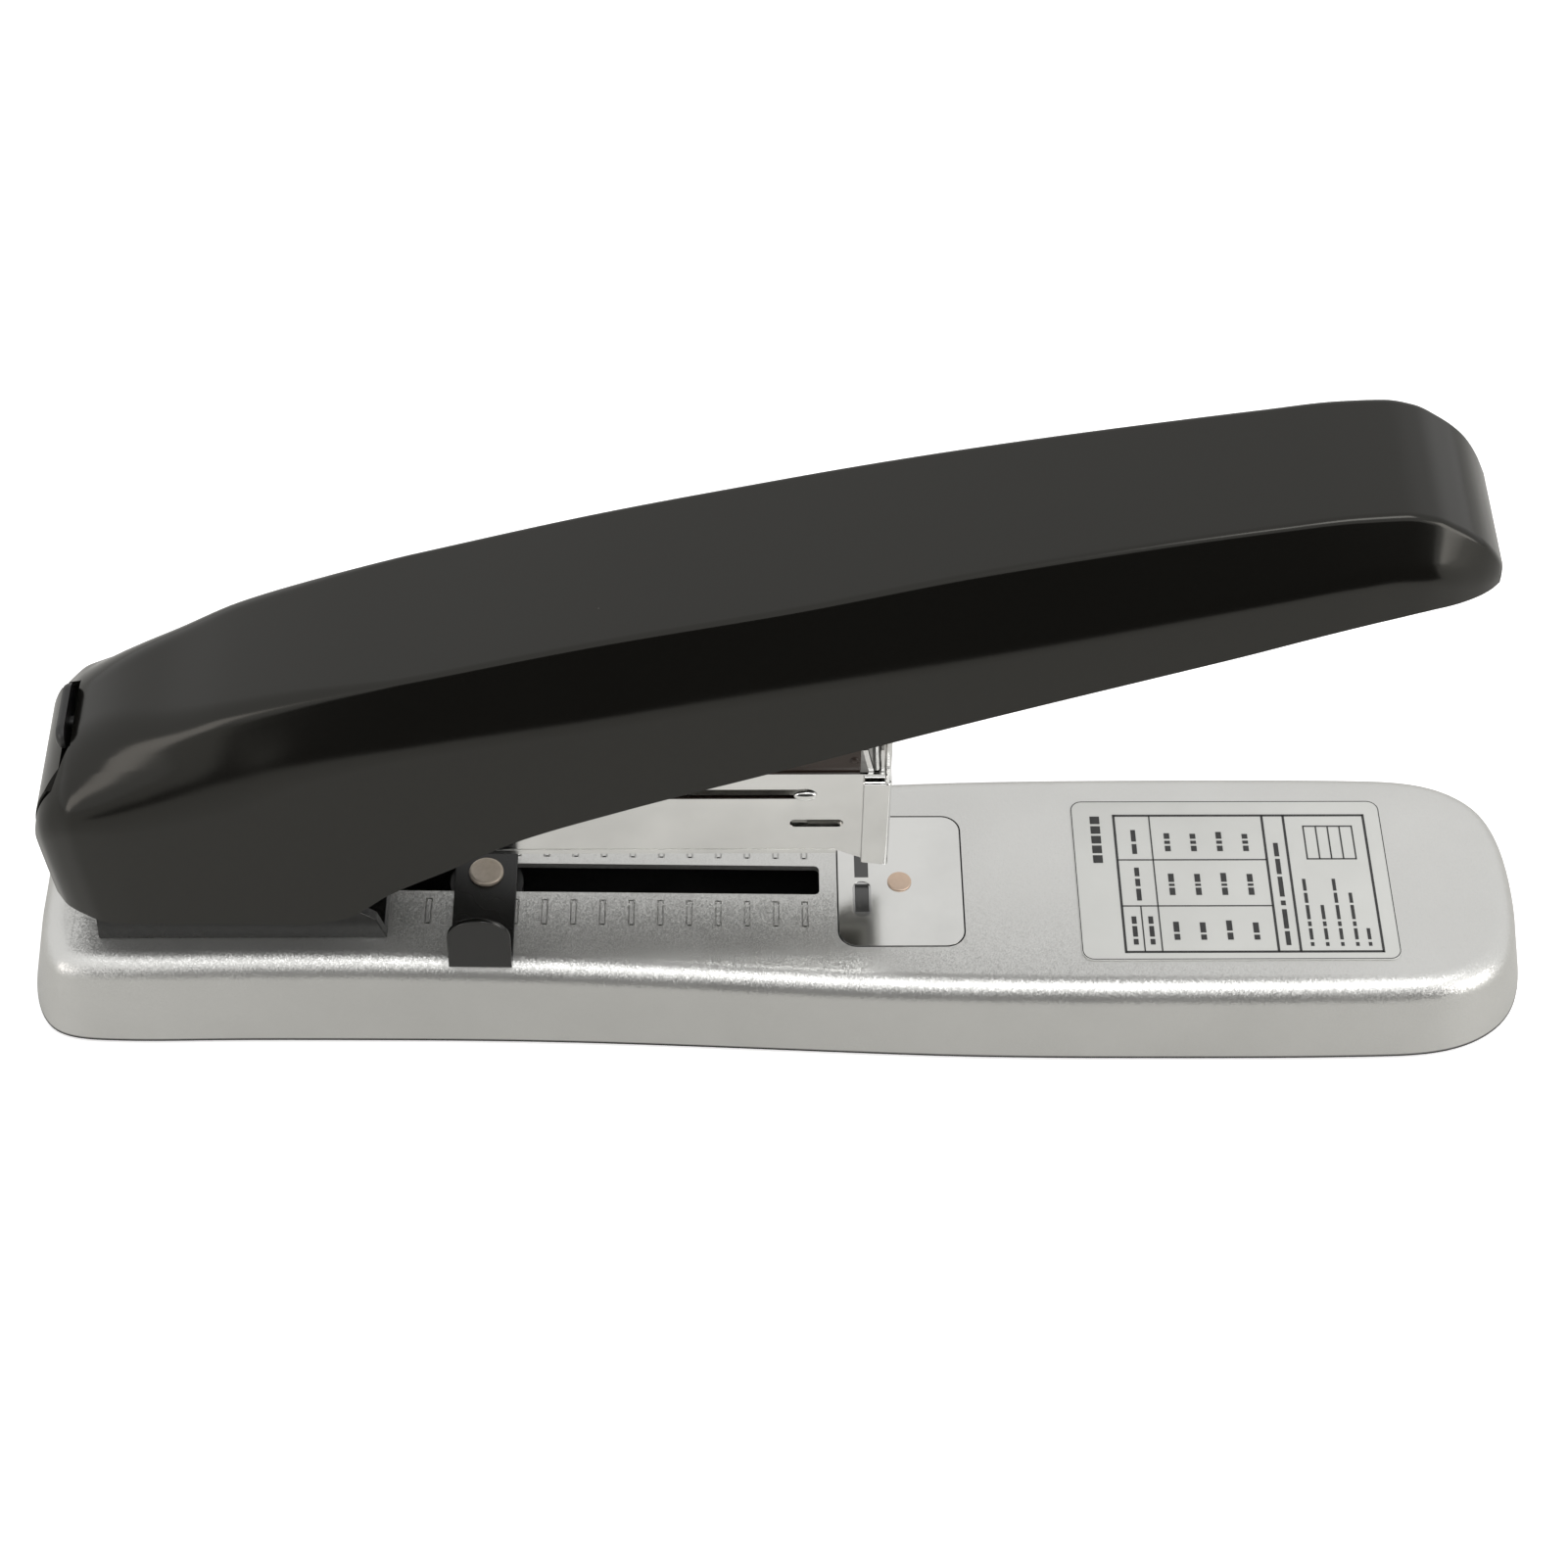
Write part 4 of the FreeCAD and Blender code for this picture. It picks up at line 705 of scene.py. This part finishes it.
def cover_half(x, top, ridge, low, wall, edge):
    """Half a section of the cover, from the foot of the wall to the middle of the flat top."""
    soft = float(np.clip((SOFT_REAR - x) / SOFT_REAR, 0.0, 1.0))
    foot = np.array((wall, min(edge, low - 0.2)))
    bevel_low = (wall, low)
    bevel_high = (ridge, top)
    middle = np.array((0.0, top))
    lower_fold = rounded_corner(foot, bevel_low, bevel_high,
                                LOWER_FOLD[0] + LOWER_FOLD[1] * soft, FOLD_POINTS)
    upper_fold = rounded_corner(bevel_low, bevel_high, middle,
                                UPPER_FOLD[0] + UPPER_FOLD[1] * soft, FOLD_POINTS)
    half = [foot] + straight_run(foot, lower_fold[0], WALL_POINTS)[:-1] + lower_fold
    half += straight_run(lower_fold[-1], upper_fold[0], RUN_POINTS)[:-1] + upper_fold
    return half + straight_run(upper_fold[-1], middle, RUN_POINTS)


def close_cover_rear(points, faces, columns):
    """Fills the rear end with two shrunken rings and a face in the middle."""
    rear_ring = points[:columns]
    middle = np.mean(rear_ring, axis=0)
    first = 0
    for share in (0.66, 0.33):
        start = len(points)
        for point in rear_ring:
            inner = middle + (np.array(point) - middle) * share
            points.append((rear_ring[0][0] + (point[0] - rear_ring[0][0]) * share,
                           inner[1], inner[2]))
        for column in range(columns - 1):
            faces.append((first + column, first + column + 1, start + column + 1, start + column))
        faces.append((first + columns - 1, first, start, start + columns - 1))
        first = start
    faces.append(tuple(range(first, first + columns)))


def make_cover():
    """The gloss shell of the handle, with wall thickness, a rear opening and soft edges."""
    rear, front = COVER[0][0], COVER[-1][0]
    places = np.concatenate([np.linspace(rear, -8.0, 21), np.linspace(-7.0, 194.0, 135),
                             np.linspace(194.8, front, 33)])
    top, ridge, low, wall = smooth_between(COVER, places)
    edge = smooth_between(COVER_EDGE, places)[0]
    points = []
    columns = 0
    for i, x in enumerate(places):
        half = cover_half(x, top[i], ridge[i], low[i], wall[i], edge[i])
        ring = half + [np.array((-point[0], point[1])) for point in reversed(half[:-1])]
        columns = len(ring)
        tuck = float(np.clip((TUCK_START - x) / TUCK_LENGTH, 0.0, 1.0))
        for across, up in ring:
            drop = max(0.0, low[i] - up)
            lean = TUCK_DEPTH * tuck * (drop / TUCK_HEIGHT) ** TUCK_CURVE
            points.append((HINGE_X + x + lean, across, HINGE_Z + up))
    rows = len(places)
    faces = strip_faces(rows, columns)
    close_cover_rear(points, faces, columns)
    last = (rows - 1) * columns
    faces.append(tuple(range(last + columns - 1, last - 1, -1)))

    cover = make_mesh("cover_shell", points, faces, "gloss_black", "handle")
    face_outwards(cover)
    thicken(cover, COVER_SHEET)
    outline = REAR_OPENING + [(-across, up) for across, up in reversed(REAR_OPENING)]
    cut_with(cover, [prism("opening", outline, HINGE_X + OPENING_START, HINGE_X + OPENING_END)])
    crisp_edges(cover, 40.0)
    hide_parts("handle_cover")


# ---------------------------------------------------------------- magazine details

DOME_RINGS = 6
DOME_STEPS = 20
STOP_NEAR = -7.4
STOP_FAR = -6.5
HOOK_PATH = [(122.1, 14.6), (122.25, 11.5), (122.3, 9.6), (122.1, 8.7), (121.7, 8.3), (121.0, 8.1)]
STRIP_PATH = [(119.3, 14.6), (119.8, 12.0), (120.4, 9.3)]


def make_dome(name, x, y, height, half_long, half_tall, rise, slot_name):
    """A small pressed dome on the magazine's near side; x and height about the hinge pin."""
    points = []
    for ring in range(DOME_RINGS + 1):
        tilt = math.pi / 2 * ring / DOME_RINGS
        for step in range(DOME_STEPS):
            turn = 2 * math.pi * step / DOME_STEPS
            points.append((HINGE_X + x + half_long * math.cos(tilt) * math.cos(turn),
                           y - rise * math.sin(tilt),
                           HINGE_Z + height + half_tall * math.cos(tilt) * math.sin(turn)))
    faces = strip_faces(DOME_RINGS + 1, DOME_STEPS, closed=True)
    face_outwards(make_mesh(name, points, faces, slot_name, "magazine"))


def make_bent_strip(name, path, thickness):
    """A chrome strip folded along a path of X and height about the hinge pin."""
    points = []
    table = np.array(path, float)
    tangent = np.gradient(table, axis=0)
    tangent /= np.linalg.norm(tangent, axis=1)[:, None]
    for (x, z), (dx, dz) in zip(table, tangent):
        for side, order in ((-0.5, (STOP_NEAR, STOP_FAR)), (0.5, (STOP_FAR, STOP_NEAR))):
            px = HINGE_X + x - dz * side * thickness
            pz = HINGE_Z + z + dx * side * thickness
            points += [(px, y, pz) for y in order]
    faces = strip_faces(len(path), 4, closed=True)
    last = 4 * (len(path) - 1)
    faces += [(3, 2, 1, 0), (last, last + 1, last + 2, last + 3)]
    strip = make_mesh(name, points, faces, "chrome", "magazine")
    face_outwards(strip)
    crisp_edges(strip, 40.0)


def make_magazine_details():
    """The folded tab that ends the long slot, a pressed dot and the staple stop's strips."""
    make_dome("slot_tab", 109.6, -8.35, 4.3, 2.0, 1.15, 0.75, "chrome")
    make_dome("channel_dot", 117.6, -7.28, 11.9, 0.75, 0.75, 0.35, "dark_steel")
    make_bent_strip("stop_hook", HOOK_PATH, 0.5)
    make_bent_strip("stop_strip", STRIP_PATH, 0.8)


# ---------------------------------------------------------------- label print

PRINT_LEVEL = 16.27
PRINT_THICKNESS = 0.03
HEAVY_LINE = 0.22
LIGHT_LINE = 0.12
PICTURE_LINE = 0.13
SMALL_PRINT = 0.42
FINE_PRINT = 0.30
TABLE_PRINT = 0.5
TITLE_PRINT = 0.85

# The ruled table: its edges, its column lines along X and its row lines along Y.
TABLE_LEFT = 59.1
TABLE_RIGHT = 103.5
TABLE_NEAR = -16.0
TABLE_FAR = 14.3
HEAD_MIDDLE = 62.4
HEAD_RIGHT = 65.4
ROWS_RIGHT = 85.45
HEADING_RIGHT = 89.25
ROW_LINES = (-6.0, 4.25)

# The empty picture box: left, right, near side, far side and its inner lines.
PICTURE = (92.6, 101.2, 4.4, 11.8)
PICTURE_BARS = (94.8, 96.9, 99.0)

# The label's own edge: left, right, half its depth and corner radius.
LABEL_EDGE = (51.6, 106.5, 17.6, 2.0)
LABEL_EDGE_LINE = 0.16


class Print:
    """Points and faces of thin raised bars that lie on the label."""

    def __init__(self):
        self.points = []
        self.faces = []

    def bar(self, left, right, near, far):
        start = len(self.points)
        for height in (PRINT_LEVEL, PRINT_LEVEL + PRINT_THICKNESS):
            self.points += [(left, near, height), (right, near, height), (right, far, height),
                            (left, far, height)]
        self.faces.append(tuple(range(start + 4, start + 8)))
        for side in range(4):
            following = (side + 1) % 4
            self.faces.append((start + side, start + following, start + 4 + following,
                               start + 4 + side))

    def upright(self, place, half, near, far):
        """A line along Y."""
        self.bar(place - half, place + half, near, far)

    def level(self, place, half, left, right):
        """A line along X."""
        self.bar(left, right, place - half, place + half)

    def dashes(self, middle, start, end, pattern, half):
        """Short bars along Y that stand for a line of print."""
        place = start
        for length, gap in pattern:
            if place + length > end:
                break
            self.upright(middle, half, place, place + length)
            place += length + gap


def print_table_lines(sheet):
    for place in (TABLE_LEFT, TABLE_RIGHT):
        sheet.upright(place, HEAVY_LINE, TABLE_NEAR - HEAVY_LINE, TABLE_FAR + HEAVY_LINE)
    for place in (TABLE_NEAR, TABLE_FAR):
        sheet.level(place, HEAVY_LINE, TABLE_LEFT, TABLE_RIGHT)
    for place, half in ((HEAD_RIGHT, LIGHT_LINE), (ROWS_RIGHT, HEAVY_LINE),
                        (HEADING_RIGHT, HEAVY_LINE)):
        sheet.upright(place, half, TABLE_NEAR, TABLE_FAR)
    for place in ROW_LINES:
        sheet.level(place, LIGHT_LINE, TABLE_LEFT, ROWS_RIGHT)
    sheet.upright(HEAD_MIDDLE, LIGHT_LINE, TABLE_NEAR, ROW_LINES[0])


def print_dashes(sheet):
    """Dashes in place of the title, the table's heads and cells, a heading and five lines."""
    sheet.dashes(55.7, 3.6, 14.4, ((1.7, 0.5),) * 6, TITLE_PRINT)
    for middle in (61.0, 63.9):
        sheet.dashes(middle, -14.4, -7.0, ((1.2, 0.5), (2.3, 0.5), (1.6, 0.5)), SMALL_PRINT)
    sheet.dashes(62.3, -4.8, 3.4, ((2.6, 0.6), (1.6, 0.6), (1.9, 0.6)), SMALL_PRINT)
    sheet.dashes(62.3, 5.6, 13.4, ((2.2, 0.6), (2.6, 0.6)), SMALL_PRINT)
    for middle in (68.2, 72.8, 77.4, 82.0):
        wide = 1.0 + 0.8 * random.random()
        sheet.dashes(middle, -13.4, -8.0, ((wide, 0.45), (2.2, 0.5)), TABLE_PRINT)
        sheet.dashes(middle, -3.6, 3.4, ((1.6, 0.4), (0.5, 0.4), (1.2 + wide / 2, 0.5)),
                     TABLE_PRINT)
        sheet.dashes(middle, 6.2, 13.2, ((1.2, 0.45), (0.7, 0.45), (wide, 0.5)), TABLE_PRINT)
    sheet.dashes(87.3, -14.6, 13.2, ((3.0, 0.6), (4.2, 0.9), (1.0, 0.9), (4.4, 0.6), (3.4, 0.6),
                                     (3.0, 0.6)), SMALL_PRINT)
    for middle, end in ((91.4, 1.6), (94.0, -3.4), (96.6, 0.8), (99.2, -2.4), (101.4, -10.0)):
        sheet.dashes(middle, -14.8, end, ((0.8, 0.6), (2.4, 0.5), (1.0, 0.5), (3.1, 0.5),
                                          (2.2, 0.5), (2.6, 0.5), (1.9, 0.5)), FINE_PRINT)


def print_picture(sheet):
    """An empty box with plain bars where the label has a drawing."""
    left, right, near, far = PICTURE
    for place in (near, far):
        sheet.level(place, PICTURE_LINE, left - PICTURE_LINE, right + PICTURE_LINE)
    for place in (left, right):
        sheet.upright(place, PICTURE_LINE, near - PICTURE_LINE, far + PICTURE_LINE)
    for place in PICTURE_BARS:
        sheet.upright(place, PICTURE_LINE, near, far)


def print_label_edge(sheet):
    left, right, half, corner = LABEL_EDGE
    edges = [rounded_outline(left + inset, right - inset, inset - half, half - inset,
                             corner - inset) for inset in (0.0, LABEL_EDGE_LINE)]
    start = len(sheet.points)
    sheet.points += [(x, y, PRINT_LEVEL) for x, y in edges[0] + edges[1]]
    sheet.faces += strip_faces(2, len(edges[0]), closed=True, first=start)


def make_print():
    """A table of plain lines and dashes on the label; it holds no words and no numbers."""
    sheet = Print()
    print_table_lines(sheet)
    print_dashes(sheet)
    print_picture(sheet)
    print_label_edge(sheet)
    label_print = make_mesh("label_print", sheet.points, sheet.faces, "label", "base",
                            smooth=False)
    label_print.data.materials.clear()
    label_print.data.materials.append(INK)


# ---------------------------------------------------------------- CAD nodes

# Width of the rounded edges of CAD pieces.
EDGE_WIDTH = {
    "anvil_plate": 0.18,
    "label_plate": 0.08,
    "hinge_bracket": 0.25,
    "guide_strip": 0.18,
    "magazine_channel": 0.22,
    "inner_channel": 0.15,
    "front_cap": 0.25,
    "rear_cap": 0.3,
    "driver_holder": 0.2,
    "handle_frame": 0.25,
    "staple_rail": 0.15,
    "rail_support": 0.2,
    "staple_pusher": 0.15,
}


def dress_nodes():
    """Gives each CAD piece its finish, and most sheet and plastic pieces rounded edges."""
    for name, node in frame["nodes"].items():
        dress(node, OWN_LOOK.get(name, SLOT_OF[name]))
        if name in EDGE_WIDTH:
            soften(node, EDGE_WIDTH[name])


# ---------------------------------------------------------------- springs

# Spring, body of its fixed end, joint that presses it, direction of its free end, travel.
SPRING_TRAVELS = (
    ("handle_spring", "magazine", "handle_press", Vector((0, 0, 1)), 6.0),
    ("lift_spring", "base", "magazine_tilt", Vector((0, 0, 1)), 4.2),
    ("pusher_spring", "magazine", "pusher_slide", Vector((1, 0, 0)), 84.3),
)


def make_coils():
    """Copies of the CAD springs, each riding on the body of its fixed end in place of the CAD
    spring.
    """
    for node_name, body, joint, direction, travel in SPRING_TRAVELS:
        node = frame["nodes"][node_name]
        coil = bpy.data.objects.new(node_name.replace("spring", "coil"), node.data.copy())
        coil.matrix_world = node.matrix_world.copy()
        bpy.context.scene.collection.objects.link(coil)
        dress(coil, "spring_steel")
        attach(coil, body)
        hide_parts(node_name)
        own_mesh(coil)


# ---------------------------------------------------------------- stage


def make_floor_sheet():
    bpy.ops.mesh.primitive_circle_add(vertices=96, radius=3.0, fill_type="NGON")
    floor = bpy.context.object
    floor.name = "floor"
    floor.data.materials.append(make_floor())


def make_world():
    """Even, slightly warm light from all round."""
    world = bpy.data.worlds.new("studio")
    bpy.context.scene.world = world
    world.use_nodes = True
    background = world.node_tree.nodes["Background"]
    background.inputs["Strength"].default_value = 0.95
    background.inputs["Color"].default_value = (1.0, 0.995, 0.985, 1.0)


def make_area_light(name, place, target, width, height, radiance, tint=(1.0, 1.0, 1.0)):
    """A soft box at place that shines towards target."""
    light = bpy.data.lights.new(name, "AREA")
    light.shape = "RECTANGLE"
    light.size = width
    light.size_y = height
    light.energy = radiance * math.pi * width * height
    light.color = tint
    thing = bpy.data.objects.new(name, light)
    bpy.context.scene.collection.objects.link(thing)
    thing.location = place
    direction = Vector(target) - Vector(place)
    thing.rotation_euler = direction.to_track_quat("-Z", "Y").to_euler()
    thing.visible_camera = False


def make_dark_card():
    """A black card in front, which only reflections see: it makes the handle's bevel dark."""
    bpy.ops.mesh.primitive_grid_add(x_subdivisions=24, y_subdivisions=2, size=1.0)
    card = bpy.context.object
    card.name = "dark_card"
    length, near_edge, depth, foot, rise = 0.40, -0.165, 0.09, 0.001, 0.19
    for vertex in card.data.vertices:
        x, y, _ = vertex.co
        outward = y + 0.5
        vertex.co = (0.03 + length * x, near_edge - depth * outward, foot + rise * outward)
    shader = Shader("dark_card")
    shader.set(Base_Color=colour(0.01), Roughness=0.9)
    card.data.materials.append(shader.material)
    card.visible_camera = False
    card.visible_diffuse = False
    card.visible_shadow = False


def make_stage():
    """A pale floor, a bright studio, three soft boxes and a dark card."""
    make_floor_sheet()
    make_world()
    make_area_light("light_top", (0.22, -0.42, 1.05), (0.02, 0.0, 0.05), 0.66, 0.36, 4.2)
    make_area_light("light_left", (-0.85, -0.70, 0.30), (-0.05, 0.0, 0.06), 0.30, 0.45, 2.2,
                    (1.0, 0.94, 0.90))
    make_area_light("light_right", (0.85, -0.55, 0.34), (0.08, 0.0, 0.08), 0.45, 0.6, 3.4,
                    (1.0, 0.97, 0.94))
    make_dark_card()


def make_camera():
    """A long lens in front, looking down 50 degrees."""
    data = bpy.data.cameras.new("camera")
    data.lens = 75.77
    data.sensor_width = 36.0
    data.clip_start = 0.01
    thing = bpy.data.objects.new("camera", data)
    bpy.context.scene.collection.objects.link(thing)
    thing.location = (-0.00764, -0.35762, 0.46857)
    thing.rotation_euler = [math.radians(turn) for turn in (39.997, -0.549, -0.604)]
    bpy.context.scene.camera = thing


dress_nodes()
make_base()
make_cover()
make_magazine_details()
make_print()
make_coils()
make_stage()
make_camera()
bpy.context.scene.view_settings.view_transform = "Standard"
